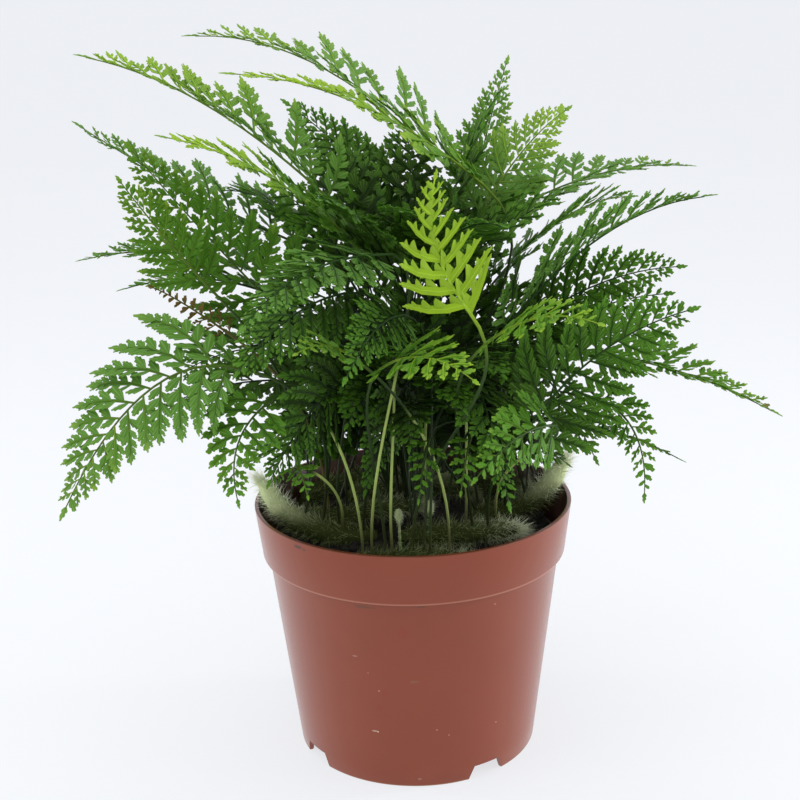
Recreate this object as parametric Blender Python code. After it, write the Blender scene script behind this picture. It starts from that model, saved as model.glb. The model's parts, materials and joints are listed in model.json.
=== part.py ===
# Potted rabbit's foot fern: a nursery pot, its soil, creeping rhizomes and the fronds that grow on them.
# Metres, +Z up, -Y is the front. The origin is the centre of the pot's foot.
import bisect
import math
import random

import bmesh
import bpy
from mathutils import Matrix
from mathutils import Vector
from mathutils.bvhtree import BVHTree

MM = 0.001
UP = Vector((0, 0, 1))
CLEARANCE = 0.3 * MM
SHARP_ANGLE = math.radians(40)

# Pot
POT_HEIGHT = 97.3 * MM
RIM_RADIUS = 60.0 * MM
BAND_HEIGHT = 19.4 * MM
BAND_FOOT_RADIUS = 57.6 * MM
BODY_TOP_RADIUS = 55.4 * MM
FOOT_RADIUS = 46.0 * MM
FLOOR_FILLET = 0.4 * MM
POT_WALL = 1.6 * MM
FLOOR_HEIGHT = 6.2 * MM
NOTCH_HEIGHT = 5.4 * MM
NOTCH_ARC = math.radians(22)
NOTCH_LEAN = math.radians(4)
NOTCH_BEARING = math.radians(33.5)
DRAIN_RADIUS = 4.5 * MM
DRAIN_CIRCLE = 28.0 * MM
DRAIN_COUNT = 6
DRAIN_SIDES = 8
POT_SEGMENTS = 48

# Soil
SOIL_LEVEL = 84.0 * MM
SOIL_EDGE_DROP = 1.5 * MM
SOIL_BUMP = 1.6 * MM
SOIL_RINGS = (0.86, 0.68, 0.47, 0.24, 0)
SOIL_SEGMENTS = 24

# Rhizomes: the middle line of each in mm, from its buried end to its growing tip, and its radius in mm.
RHIZOME_ROUTES = (
    (((-14, -12, 86), (-32, -15, 89), (-47, -15, 97), (-56, -15, 110)), 4.6),
    (((22, 6, 86), (40, 4, 90), (51, 2, 99), (58, 0, 111)), 4.4),
    (((-4, -16, 87), (10, -19, 89), (24, -22, 91), (39, -24, 92)), 4.4),
    (((-22, -36, 85), (-8, -39, 87), (6, -39, 88), (22, -40, 87)), 4.0),
    (((-46, 8, 86), (-30, 0, 89), (-14, 4, 91), (4, 8, 90)), 4.4),
    (((-26, 28, 87), (-9, 26, 92), (7, 26, 94), (24, 21, 90)), 4.8),
    (((-44, 24, 86), (-32, 40, 88), (-12, 45, 88), (4, 44, 87)), 4.4),
    (((16, 44, 86), (32, 38, 88), (44, 24, 89), (47, 16, 92)), 4.2),
)
RHIZOME_SIDES = 7
RHIZOME_RINGS = 9
FLANK_LEAN = 0.55

# Young coiled fronds: rhizome, place along it, height of the stalk and radius of the coil in mm.
CROZIERS = (
    (3, 0.42, 11, 2.6),
    (3, 0.66, 13, 3.0),
)
COIL_TURNS = 1.45
COIL_RINGS = 13
CROZIER_RADIUS = 0.85 * MM
CROZIER_TIP_RADIUS = 0.5 * MM
CROZIER_SIDES = 5

# Fronds
STALK_RADIUS = 0.8 * MM
RIB_RADIUS = 0.55 * MM
RIB_TIP_RADIUS = 0.3 * MM
RIB_DEPTH = 1.3 * MM
BLADE_THICKNESS = 0.7 * MM
BLADE_DROOP = 2.5
STALK_STEPS = 5
STALK_LIFT = 1.6
CROWD_SHARE = 1.25
SIDE_SHIFT = 0.35
LEAFLET_ANGLE = math.radians(68)
TIP_LEAFLET_ANGLE = math.radians(42)
SEAT_GAP = 0.45 * MM
TEST_SWELL = 0.5 * MM
TRIES = 800

# The fronds that give the plant its outline, front and low ones first. In mm:
# rhizome, place along it, crown (where the leaflets start), tip, direction that the upper face looks in,
# fold of the two halves in degrees, length of the longest leaflet, bow of the rib away from its chord.
LEADING_FRONDS = (
    (0, 0.40, (-57, -52, 163), (-113, -75, 123), (-0.3, -0.6, 0.75), 4, 34, (-1, 0, 21)),
    (3, 0.08, (-47, -56, 152), (-56, -80, 126), (-0.3, -0.9, 0.3), 8, 19, (-6, -3, 4)),
    (3, 0.50, (19, -63, 183), (8, -72, 228), (0.1, -0.95, 0.3), 14, 24, (-7, 0, 0)),
    (3, 0.30, (-7, -62, 166), (19, -98, 170), (-0.1, -0.45, 0.88), 8, 20, (0, 0, 6)),
    (3, 0.80, (-19, -62, 169), (-34, -92, 178), (0, -0.5, 0.85), 4, 14, (0, 0, 4)),
    (2, 0.60, (28, -68, 175), (55, -104, 188), (0, -0.4, 0.92), 8, 18, (0, 0, 6)),
    (3, 0.18, (-8, -46, 199), (-48, -98, 188), (0, -0.3, 0.95), 0, 24, (-3, -3, 7)),
    (2, 0.75, (40, -46, 138), (88, -72, 184), (-0.2, -0.85, 0.5), 6, 34, (-3, 0, 8)),
    (1, 0.50, (57, -22, 158), (127, -30, 137), (0, -0.15, 1), 26, 28, (0, 0, 6)),
    (1, 0.30, (60, -48, 152), (75, -72, 131), (0.2, -0.9, 0.3), 4, 16, (6, -2, 6)),
    (2, 0.92, (50, -68, 148), (26, -100, 143), (0, -0.75, 0.65), 0, 20, (0, -3, 7)),
    (0, 0.25, (-39, -55, 129), (-34, -75, 126), (0, -0.7, 0.7), 0, 9, (0, 0, 3)),
    (3, 0.66, (6, -45, 134), (2, -62, 119), (0, -0.9, 0.4), 0, 9, (0, 0, 2)),
    (2, 0.40, (20, -48, 135), (16, -66, 123), (0, -0.9, 0.4), 0, 9, (0, 0, 2)),
    (2, 0.10, (28, 2, 214), (-58, -12, 256), (0, -0.15, 1), 14, 30, (0, 0, 12)),
    (0, 0.10, (-24, -20, 204), (-76, -50, 239), (0, -0.2, 1), 10, 28, (0, 0, 7)),
    (0, 0.55, (-44, -10, 170), (-91, -30, 233), (-0.4, -0.8, 0.45), 6, 32, (-4, 0, 3)),
    (0, 0.70, (-70, -32, 188), (-93, -45, 224), (-0.3, -0.7, 0.6), 0, 20, (-3, 0, 3)),
    (4, 0.10, (-55, 36, 176), (-128, 48, 182), (0, -0.1, 1), 20, 28, (0, 0, 8)),
    (4, 0.25, (-52, 4, 174), (-102, -18, 188), (0, -0.15, 1), 16, 22, (0, 0, 6)),
    (6, 0.15, (-44, 42, 188), (-126, 54, 233), (0, -0.15, 1), 22, 34, (0, 0, -3)),
    (4, 0.45, (-28, 6, 210), (-115, 22, 261), (0, -0.05, 1), 30, 36, (0, 0, 11)),
    (5, 0.35, (24, 50, 206), (-82, 72, 266), (0, -0.05, 1), 28, 38, (0, 0, 21)),
    (5, 0.70, (18, 40, 196), (33, 66, 245), (0, -0.9, 0.4), 6, 24, (0, 0, 4)),
    (5, 0.88, (26, 14, 200), (61, 36, 237), (0.2, -0.6, 0.75), 10, 25, (0, 0, 6)),
    (7, 0.50, (28, 42, 196), (110, 78, 217), (0, -0.05, 1), 24, 32, (0, 0, 10)),
    (1, 0.12, (34, -24, 168), (99, -36, 214), (0, -0.05, 1), 28, 32, (0, 0, 13)),
    (1, 0.66, (46, -2, 166), (94, -20, 185), (0.1, -0.7, 0.7), 12, 26, (0, 0, 6)),
    (1, 0.80, (44, 6, 156), (95, -28, 169), (0.1, -0.7, 0.7), 8, 26, (0, 0, 6)),
    (3, 0.36, (-20, -35, 184), (-56, -60, 164), (-0.2, -0.75, 0.65), 4, 27, (0, -3, 8)),
    (0, 0.15, (-22, -26, 154), (-48, -52, 116), (-0.25, -0.85, 0.5), 4, 28, (0, -4, 8)),
    (3, 0.60, (-7, -40, 177), (-29, -88, 160), (-0.1, -0.7, 0.7), 4, 21, (0, -4, 8)),
    (2, 0.30, (6, -26, 152), (-6, -52, 112), (0, -0.85, 0.5), 4, 27, (0, -4, 8)),
    (2, 0.50, (24, -26, 150), (22, -54, 112), (0.05, -0.85, 0.5), 4, 25, (0, -4, 8)),
    (1, 0.20, (36, -22, 158), (54, -50, 120), (0.25, -0.8, 0.5), 4, 26, (0, -4, 8)),
    (5, 0.50, (2, 28, 194), (-44, 42, 241), (0, -0.6, 0.8), 6, 28, (0, 0, 5)),
)
YOUNG_FRONDS = (3, 4, 5, 6, 15, 16, 22)

# Fronds that show most, and low ones among the stalks: they are placed first, and the others pass round them.
PLACED_FIRST = (1, 5, 8, 12, 13, 14, 30, 31, 32, 33, 34, 35)
LEADING_PAIRS = 8
FILLING_PAIRS = 6
SMALL_FROND = 21.0
TOOTHED_LENGTH = 19.0 * MM

# The rest fill the clump by rule: bearing from and to in degrees, how many, crown radius and height, tip
# radius and height, and length of the longest leaflet in mm.
FILLING_TIERS = (
    (215, 325, 2, 13, 186, 66, 212, 30),
    (12, 168, 4, 34, 146, 98, 122, 32),
    (8, 172, 3, 32, 182, 105, 196, 34),
    (95, 445, 2, 30, 146, 80, 128, 30),
)
DRY_FRONDS = (
    (4, 0.30, (-64, -16, 166), (-86, -38, 188), (-0.2, -0.8, 0.5), 10, 7, (-4, 0, 4)),
)
LEADING_FREEDOM = 1.3
FILLING_FREEDOM = 2.0
SHAKE_CROWN = 9.0 * MM
SHAKE_TIP = 16.0 * MM
SHAKE_FACE = 0.6
SHAKE_STALK = 20.0 * MM
SHAKE_SHRINK = 0.3


def plain_material(name, colour, roughness, metallic=0.0):
    material = bpy.data.materials.new(name)
    material.use_nodes = True
    shader = material.node_tree.nodes["Principled BSDF"]
    shader.inputs["Base Color"].default_value = (*colour, 1.0)
    shader.inputs["Roughness"].default_value = roughness
    shader.inputs["Metallic"].default_value = metallic
    return material


def new_object(name, bm, material, origin=(0, 0, 0)):
    """One node, with its own material, smooth shading up to SHARP_ANGLE and its origin at a point."""
    bmesh.ops.translate(bm, verts=bm.verts[:], vec=-Vector(origin))
    mesh = bpy.data.meshes.new(name)
    bm.to_mesh(mesh)
    bm.free()
    mesh.shade_smooth()
    mesh.set_sharp_from_angle(angle=SHARP_ANGLE)
    mesh.materials.append(material)
    obj = bpy.data.objects.new(name, mesh)
    obj.location = origin
    bpy.context.scene.collection.objects.link(obj)
    return obj


def cut_away(target, cutters):
    """Takes the cutters out of the target with one Boolean, applies it and removes them."""
    group = bpy.data.collections.new(target.name + "_cutters")
    bpy.context.scene.collection.children.link(group)
    for cutter in cutters:
        bpy.context.scene.collection.objects.unlink(cutter)
        group.objects.link(cutter)
        cutter.hide_render = True
        cutter.display_type = "WIRE"
    cut = target.modifiers.new("cut", "BOOLEAN")
    cut.operation = "DIFFERENCE"
    cut.solver = "EXACT"
    cut.operand_type = "COLLECTION"
    cut.collection = group
    graph = bpy.context.evaluated_depsgraph_get()
    finished = bpy.data.meshes.new_from_object(target.evaluated_get(graph))
    target.modifiers.clear()
    target.data = finished
    for cutter in cutters:
        bpy.data.objects.remove(cutter)
    bpy.data.collections.remove(group)


def spun_body(profile, steps):
    """A closed body turned round Z from a profile of (radius, height) that starts and ends on the axis."""
    bm = bmesh.new()
    points = [bm.verts.new((radius, 0, height)) for radius, height in profile]
    for start, end in zip(points, points[1:]):
        bm.edges.new((start, end))
    bmesh.ops.spin(
        bm, geom=bm.verts[:] + bm.edges[:], axis=UP, cent=(0, 0, 0),
        angle=math.tau, steps=steps, use_merge=True,
    )
    bmesh.ops.remove_doubles(bm, verts=bm.verts[:], dist=0.01 * MM)
    bmesh.ops.recalc_face_normals(bm, faces=bm.faces[:])
    return bm


def make_pot():
    band_foot = POT_HEIGHT - BAND_HEIGHT
    step_top = band_foot + POT_WALL
    inner_foot = FOOT_RADIUS - POT_WALL
    profile = (
        (0, FLOOR_HEIGHT),
        (inner_foot, FLOOR_HEIGHT),
        (inner_foot, 0),
        (FOOT_RADIUS, 0),
        (BODY_TOP_RADIUS, band_foot),
        (BAND_FOOT_RADIUS, band_foot),
        (RIM_RADIUS, POT_HEIGHT),
        (RIM_RADIUS - POT_WALL, POT_HEIGHT),
        (BAND_FOOT_RADIUS - POT_WALL, step_top),
        (BODY_TOP_RADIUS - POT_WALL, step_top),
        (inner_foot + FLOOR_FILLET, FLOOR_HEIGHT + POT_WALL),
        (0, FLOOR_HEIGHT + POT_WALL),
    )
    pot = new_object(
        "pot", spun_body(profile, POT_SEGMENTS), plain_material("pot_plastic", (0.25, 0.075, 0.04), 0.42)
    )
    cutters = [notch_cutter(NOTCH_BEARING + index * math.pi / 2) for index in range(4)]
    cutters += [drain_cutter(index * math.tau / DRAIN_COUNT) for index in range(DRAIN_COUNT)]
    cut_away(pot, cutters)
    return pot


def notch_cutter(bearing):
    """A wedge through the foot ring, wider at the bottom than at the top."""
    bm = bmesh.new()
    bmesh.ops.create_cube(bm, size=1.0)
    for vert in bm.verts:
        radius = FOOT_RADIUS + (6 * MM if vert.co.x > 0 else -6 * MM)
        height = NOTCH_HEIGHT if vert.co.z > 0 else -3 * MM
        half = NOTCH_ARC / 2 - (NOTCH_LEAN if vert.co.z > 0 else 0)
        angle = bearing + math.copysign(half, vert.co.y)
        vert.co = (radius * math.cos(angle), radius * math.sin(angle), height)
    bmesh.ops.recalc_face_normals(bm, faces=bm.faces[:])
    if bm.calc_volume(signed=True) < 0:
        bmesh.ops.reverse_faces(bm, faces=bm.faces[:])
    return new_object("notch_cutter", bm, None)


def drain_cutter(bearing):
    bm = bmesh.new()
    place = Matrix.Translation(
        (DRAIN_CIRCLE * math.cos(bearing), DRAIN_CIRCLE * math.sin(bearing), FLOOR_HEIGHT + POT_WALL / 2)
    )
    bmesh.ops.create_cone(
        bm, cap_ends=True, segments=DRAIN_SIDES, radius1=DRAIN_RADIUS, radius2=DRAIN_RADIUS,
        depth=3 * POT_WALL, matrix=place,
    )
    return new_object("drain_cutter", bm, None)


def soil_height(x, y):
    """Height of the soil over its level: a few slow waves make the lumps."""
    waves = math.sin(x / 0.0071 + 1.3) * math.cos(y / 0.0088) + 0.6 * math.sin((x - y) / 0.0123 + 0.4)
    return SOIL_BUMP * waves / 1.6


def make_soil(rhizomes):
    """A plug that fills the pot up to the step of its band, with a groove for each rhizome."""
    step_top = POT_HEIGHT - BAND_HEIGHT + POT_WALL
    flat_share = math.cos(math.pi / POT_SEGMENTS)
    side_top = (BODY_TOP_RADIUS - POT_WALL) * flat_share - CLEARANCE
    side_foot = (FOOT_RADIUS - POT_WALL) * flat_share - CLEARANCE
    profile = (
        (0, FLOOR_HEIGHT + POT_WALL + CLEARANCE),
        (side_foot, FLOOR_HEIGHT + POT_WALL + CLEARANCE),
        (side_top, step_top),
        (side_top, SOIL_LEVEL - SOIL_EDGE_DROP),
        *((share * side_top, SOIL_LEVEL) for share in SOIL_RINGS),
    )
    bm = spun_body(profile, SOIL_SEGMENTS)
    for vert in bm.verts:
        if vert.co.z > SOIL_LEVEL - 0.1 * MM:
            vert.co.z += soil_height(vert.co.x, vert.co.y)
    bmesh.ops.triangulate(bm, faces=bm.faces[:])
    soil = new_object("soil", bm, plain_material("soil", (0.022, 0.016, 0.012), 0.95))
    cutters = [
        new_object("groove_cutter", tube_body(*rhizome_tube(index, CLEARANCE), RHIZOME_SIDES), None)
        for index in range(rhizomes)
    ]
    cut_away(soil, cutters)
    return soil


def smooth_line(points, count):
    """Points spaced along a Catmull-Rom curve through the given ones."""
    padded = [2 * points[0] - points[1], *points, 2 * points[-1] - points[-2]]
    spans = len(points) - 1
    line = []
    for step in range(count):
        place = spans * step / (count - 1)
        span = min(int(place), spans - 1)
        t = place - span
        a, b, c, d = padded[span:span + 4]
        bend = (2 * a - 5 * b + 4 * c - d) * t * t + (3 * b - a - 3 * c + d) * t ** 3
        line.append(0.5 * (2 * b + (c - a) * t + bend))
    return line


def tube_body(line, radii, sides):
    """A closed tube along the line, one ring of that radius at each point."""
    bm = bmesh.new()
    tangent = (line[1] - line[0]).normalized()
    normal = tangent.orthogonal().normalized()
    rings = []
    for index, (point, radius) in enumerate(zip(line, radii)):
        ahead = line[min(index + 1, len(line) - 1)]
        behind = line[max(index - 1, 0)]
        turned = (ahead - behind).normalized()
        normal = tangent.rotation_difference(turned) @ normal
        tangent = turned
        across = tangent.cross(normal)
        turn = Matrix((normal, across, tangent)).transposed().to_4x4()
        circle = bmesh.ops.create_circle(
            bm, cap_ends=False, segments=sides, radius=radius, matrix=Matrix.Translation(point) @ turn
        )
        ring = circle["verts"]
        rings.append({edge for vert in ring for edge in vert.link_edges})
    for lower, upper in zip(rings, rings[1:]):
        bmesh.ops.bridge_loops(bm, edges=list(lower | upper))
    for ring in (rings[0], rings[-1]):
        bmesh.ops.contextual_create(bm, geom=list(ring))
    bmesh.ops.recalc_face_normals(bm, faces=bm.faces[:])
    return bm


def rhizome_line(index):
    route, _ = RHIZOME_ROUTES[index]
    return smooth_line([Vector(point) * MM for point in route], RHIZOME_RINGS)


def rhizome_radius(index, place):
    """Radius at a place from 0 to 1: a blunt buried end and a tapering growing tip."""
    full = RHIZOME_ROUTES[index][1] * MM
    return full * (0.55 + 0.45 * min(1, place / 0.12)) * (1 - 0.62 * max(0, (place - 0.72) / 0.28) ** 1.6)


def rhizome_tube(index, extra=0.0):
    line = rhizome_line(index)
    radii = [rhizome_radius(index, step / (len(line) - 1)) + extra for step in range(len(line))]
    if extra:
        line[0] += (line[0] - line[1]).normalized() * extra
        line[-1] += (line[-1] - line[-2]).normalized() * extra
    return line, radii


def make_rhizomes():
    made = []
    for index in range(len(RHIZOME_ROUTES)):
        name = f"rhizome_{index + 1:02d}"
        fur = plain_material(name + "_fur", (0.35, 0.36, 0.22), 0.9)
        body = tube_body(*rhizome_tube(index), RHIZOME_SIDES)
        made.append(new_object(name, body, fur, rhizome_line(index)[0]))
    return made


def seat_on_rhizome(index, place, lean):
    """The point just off a rhizome's skin where a stalk is jointed to it, and the way out of it there.
    A lean of -1 is its left flank and 1 its right one, as seen along it."""
    line = rhizome_line(index)
    station = place * (len(line) - 1)
    step = min(int(station), len(line) - 2)
    middle = line[step].lerp(line[step + 1], station - step)
    along = (line[step + 1] - line[step]).normalized()
    flank = along.cross(UP).normalized()
    top = flank.cross(along).normalized()
    out = (top + FLANK_LEAN * lean * flank).normalized()
    return middle + out * (rhizome_radius(index, place) + SEAT_GAP), out


def crozier_line(seat, out, stalk_height, coil_radius):
    """A stalk that ends in a flat coil of a turn and a half, like a watch spring."""
    lift = (out + 2 * UP).normalized()
    top = seat + lift * stalk_height
    across = lift.cross(Vector((0, 1, 0))).normalized()
    ahead = across.cross(lift)
    line = [seat.lerp(top, step / 4) for step in range(4)]
    centre = top + ahead * coil_radius
    for step in range(COIL_RINGS):
        wound = step / (COIL_RINGS - 1)
        angle = COIL_TURNS * math.tau * wound
        radius = coil_radius * (1 - 0.62 * wound)
        line.append(centre - ahead * (radius * math.cos(angle)) + lift * (radius * math.sin(angle)))
    return line


def make_croziers():
    made = []
    for index, (rhizome, place, stalk, coil) in enumerate(CROZIERS):
        name = f"crozier_{index + 1:02d}"
        seat, out = seat_on_rhizome(rhizome, place, -1)
        line = crozier_line(seat, out, stalk * MM, coil * MM)
        taper = (CROZIER_TIP_RADIUS - CROZIER_RADIUS) / (len(line) - 1)
        radii = [CROZIER_RADIUS + taper * step for step in range(len(line))]
        material = plain_material(name + "_green", (0.36, 0.42, 0.2), 0.6)
        made.append(new_object(name, tube_body(line, radii, CROZIER_SIDES), material, seat))
    return made


class Spine:
    """The line of a frond from its seat over the crown to its tip, with the direction of its upper face."""

    def __init__(self, seat, out, crown, tip, face, bow, sway):
        chord = tip - crown
        blade = bezier_points(crown, crown + chord / 3 + bow, tip - chord / 3 + bow, tip)
        start = (blade[1] - blade[0]).normalized()
        reach = (crown - seat).length
        lift = (out + STALK_LIFT * UP).normalized()
        stalk = bezier_points(
            seat, seat + lift * (0.42 * reach) + sway / 2, crown - start * (0.36 * reach) + sway, crown
        )
        self.crown_step = len(stalk) - 1
        self.points = stalk + blade[1:]
        self.places = [0.0]
        for behind, ahead in zip(self.points, self.points[1:]):
            self.places.append(self.places[-1] + (ahead - behind).length)
        offset = self.places[self.crown_step]
        self.places = [place - offset for place in self.places]
        self.stalk_length = -self.places[0]
        self.blade_length = self.places[-1]
        self.tangents = [
            (self.points[min(step + 1, len(self.points) - 1)] - self.points[max(step - 1, 0)]).normalized()
            for step in range(len(self.points))
        ]
        self.normals = [None] * len(self.points)
        base = self.tangents[self.crown_step]
        self.normals[self.crown_step] = (face - face.dot(base) * base).normalized()
        self.carry_normals(range(self.crown_step, 0, -1), -1)
        self.carry_normals(range(self.crown_step, len(self.points) - 1), 1)

    def carry_normals(self, steps, direction):
        """Turns the face direction along the line with no twist."""
        for step in steps:
            turn = self.tangents[step].rotation_difference(self.tangents[step + direction])
            self.normals[step + direction] = turn @ self.normals[step]

    def at(self, place):
        """Point, normal and side direction at a distance from the crown."""
        step = min(max(bisect.bisect_right(self.places, place) - 1, 0), len(self.places) - 2)
        t = (place - self.places[step]) / (self.places[step + 1] - self.places[step])
        point = self.points[step].lerp(self.points[step + 1], t)
        share = min(max(t, 0), 1)
        normal = self.normals[step].lerp(self.normals[step + 1], share).normalized()
        tangent = self.tangents[step].lerp(self.tangents[step + 1], share).normalized()
        return point, normal, normal.cross(tangent)


def bezier_points(a, b, c, d, count=22):
    points = []
    for step in range(count):
        t = step / (count - 1)
        s = 1 - t
        points.append(a * s ** 3 + b * (3 * s * s * t) + c * (3 * s * t * t) + d * t ** 3)
    return points


def rib_radius(place, blade_length):
    """Half the width of the stalk and, past the crown, of the rib."""
    if place < 0:
        return STALK_RADIUS
    return RIB_RADIUS + (RIB_TIP_RADIUS - RIB_RADIUS) * min(1, place / blade_length)


def leaflet_length(share, longest):
    """Length of the leaflet at a share of the blade: the lowest are nearly the longest."""
    return longest * (0.06 + 0.94 * (1 - share) ** 0.85) * (1 - 0.14 * math.exp(-(share / 0.08) ** 2))


def flat_frond(bm, stalk_length, blade_length, longest, pairs):
    """One sheet: the rib as a strip between two rails, and a leaflet on each stretch of a rail.
    X is the distance from the crown and Y the distance from the rib."""
    rails = {}
    for side in (-1, 1):
        places = [-stalk_length * (1 - step / STALK_STEPS) for step in range(STALK_STEPS)]
        places.append(0)
        for step in range(1, pairs + 1):
            share = 1 - (1 - (step + (SIDE_SHIFT if side > 0 else 0)) / (pairs + 0.5)) ** CROWD_SHARE
            places.append(share * blade_length)
        rails[side] = [bm.verts.new((x, side * rib_radius(x, blade_length), 0)) for x in places]
    for right, left in zip(zip(rails[-1], rails[-1][1:]), zip(rails[1], rails[1][1:])):
        bm.faces.new((right[0], right[1], left[1], left[0]))
    tip = bm.verts.new((blade_length, 0, 0))
    bm.faces.new((rails[-1][-1], tip, rails[1][-1]))
    for side, rail in rails.items():
        for start, end in zip(rail[STALK_STEPS:], rail[STALK_STEPS + 1:]):
            outline = leaflet_outline(start.co, end.co, side, blade_length, longest)
            bm.faces.new([start, *(bm.verts.new(point) for point in outline), end])


def leaflet_outline(start, end, side, blade_length, longest):
    """The outer corners of a leaflet whose foot runs from start to end on the rail, the near edge first."""
    foot = (start + end) / 2
    share = foot.x / blade_length
    angle = LEAFLET_ANGLE + (TIP_LEAFLET_ANGLE - LEAFLET_ANGLE) * share
    out = Vector((math.cos(angle), side * math.sin(angle), 0))
    forward = Vector((math.sin(angle), -side * math.cos(angle), 0))
    width = (end.x - start.x) * math.sin(angle)
    length = leaflet_length(share, longest)
    if length > TOOTHED_LENGTH:
        corners = ((0.44, -0.46), (0.54, -0.2), (1, 0.04), (0.6, 0.2), (0.5, 0.46))
    else:
        corners = ((0.5, -0.4), (1, 0.06), (0.56, 0.42))
    return [foot + out * (length * reach) + forward * (width * spread) for reach, spread in corners]


def frond_bmesh(plan, pairs, swell=0.0):
    """The flat frond given its thickness and bent along its spine."""
    spine = plan["spine"]
    bm = bmesh.new()
    flat_frond(bm, spine.stalk_length, spine.blade_length, plan["longest"], pairs)
    bmesh.ops.triangulate(bm, faces=bm.faces[:], quad_method="BEAUTY", ngon_method="BEAUTY")
    copied = bmesh.ops.extrude_face_region(bm, geom=bm.faces[:], use_keep_orig=True)
    raised = {part for part in copied["geom"] if isinstance(part, bmesh.types.BMVert)}
    bmesh.ops.translate(bm, verts=list(raised), vec=UP * BLADE_THICKNESS)
    bmesh.ops.recalc_face_normals(bm, faces=bm.faces[:])
    for vert in bm.verts:
        layer = 0.5 if vert in raised else -0.5
        vert.co = bent_point(plan, vert.co.x, vert.co.y, layer, swell)
    return bm


def bent_point(plan, x, y, layer, swell):
    spine = plan["spine"]
    point, normal, side = spine.at(x)
    rib = rib_radius(x, spine.blade_length)
    if x < 0:
        thickness = 2 * STALK_RADIUS
    elif abs(y) <= rib * 1.01:
        thickness = RIB_DEPTH + (BLADE_THICKNESS - RIB_DEPTH) * min(1, x / spine.blade_length)
    else:
        thickness = BLADE_THICKNESS
    spread = abs(y)
    rise = spread * math.sin(plan["fold"]) - BLADE_DROOP * spread * spread
    across = side * (math.copysign(spread, y) * math.cos(plan["fold"]))
    return point + across + normal * (rise + layer * (thickness + swell))


def frond_plan(row, index, attempt, freedom):
    """The frond of a row. Attempt 0 is the row as it stands, and later ones are shaken further from it."""
    rhizome, place, crown, tip, face, fold, longest, bow = row
    rng = random.Random(1000 * index + attempt)
    shake = freedom * attempt / TRIES
    lean = rng.choice((-1, 0, 1))
    place = min(0.95, max(0.05, place + rng.uniform(-0.3, 0.3) * shake))
    seat, out = seat_on_rhizome(rhizome, place, lean)
    crown = Vector(crown) * MM + random_vector(rng) * (SHAKE_CROWN * shake)
    tip = Vector(tip) * MM + random_vector(rng) * (SHAKE_TIP * shake)
    face = Vector(face) + random_vector(rng) * (SHAKE_FACE * shake)
    sway = random_vector(rng) * (SHAKE_STALK * shake)
    longest = longest * MM * (1 - SHAKE_SHRINK * min(1, shake) * rng.random())
    return {
        "spine": Spine(seat, out, crown, tip, face, Vector(bow) * MM, sway),
        "fold": math.radians(fold),
        "longest": longest,
    }


def random_vector(rng):
    return Vector((rng.uniform(-1, 1), rng.uniform(-1, 1), rng.uniform(-1, 1)))


def filling_rows():
    """Rows for the rest of the fronds, spread evenly round each tier with a small seeded unevenness."""
    rng = random.Random(7)
    rows = []
    for first, last, count, crown_radius, crown_height, tip_radius, tip_height, longest in FILLING_TIERS:
        for index in range(count):
            bearing = math.radians(first + (last - first) * (index + 0.5) / count + rng.uniform(-5, 5))
            heading = Vector((math.cos(bearing), math.sin(bearing), 0))
            crown = heading * (crown_radius + rng.uniform(-4, 4)) + UP * (crown_height + rng.uniform(-5, 5))
            tip = heading * (tip_radius + rng.uniform(-5, 5)) + UP * (tip_height + rng.uniform(-6, 6))
            face = heading * 0.35 + UP
            rhizome, place = nearest_seat(crown * MM)
            bow = UP * rng.uniform(6, 12)
            rows.append((rhizome, place, crown[:], tip[:], face[:], rng.uniform(0, 14), longest, bow[:]))
    return rows


def nearest_seat(crown):
    """The rhizome, and the place on it, that lies most nearly under a crown drawn in to half its radius."""
    aim = Vector((crown.x / 2, crown.y / 2, 0))
    found = []
    for index in range(len(RHIZOME_ROUTES)):
        line = rhizome_line(index)
        for step in range(1, len(line) - 1):
            distance = (Vector((line[step].x, line[step].y, 0)) - aim).length
            found.append((distance, index, step / (len(line) - 1)))
    return min(found)[1:]


def obstacle_of(obj):
    """Box and tree of a finished object, to test new fronds against."""
    points = [obj.location + vert.co for vert in obj.data.vertices]
    return box_of(points), BVHTree.FromPolygons(points, [face.vertices[:] for face in obj.data.polygons])


def box_of(points):
    low = Vector([min(point[axis] for point in points) for axis in range(3)])
    high = Vector([max(point[axis] for point in points) for axis in range(3)])
    return low, high


def apart(first, second):
    return any(first[1][axis] < second[0][axis] or second[1][axis] < first[0][axis] for axis in range(3))


def place_fronds(rows, standing):
    """Makes each row's frond at the first attempt that touches nothing of what stands already."""
    obstacles = [obstacle_of(obj) for obj in standing]
    for index in sorted(range(len(rows)), key=lambda index: (index not in PLACED_FIRST, index)):
        name, row, pairs, freedom, material = rows[index]
        for attempt in range(TRIES):
            plan = frond_plan(row, index, attempt, freedom)
            trial = frond_bmesh(plan, pairs, TEST_SWELL)
            box = box_of([vert.co for vert in trial.verts])
            tree = BVHTree.FromBMesh(trial)
            trial.free()
            if not any(not apart(box, other) and tree.overlap(others) for other, others in obstacles):
                break
        else:
            raise RuntimeError(name + " finds no clear place")
        frond = new_object(name, frond_bmesh(plan, pairs), material, plan["spine"].points[0])
        obstacles.append(obstacle_of(frond))


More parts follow.
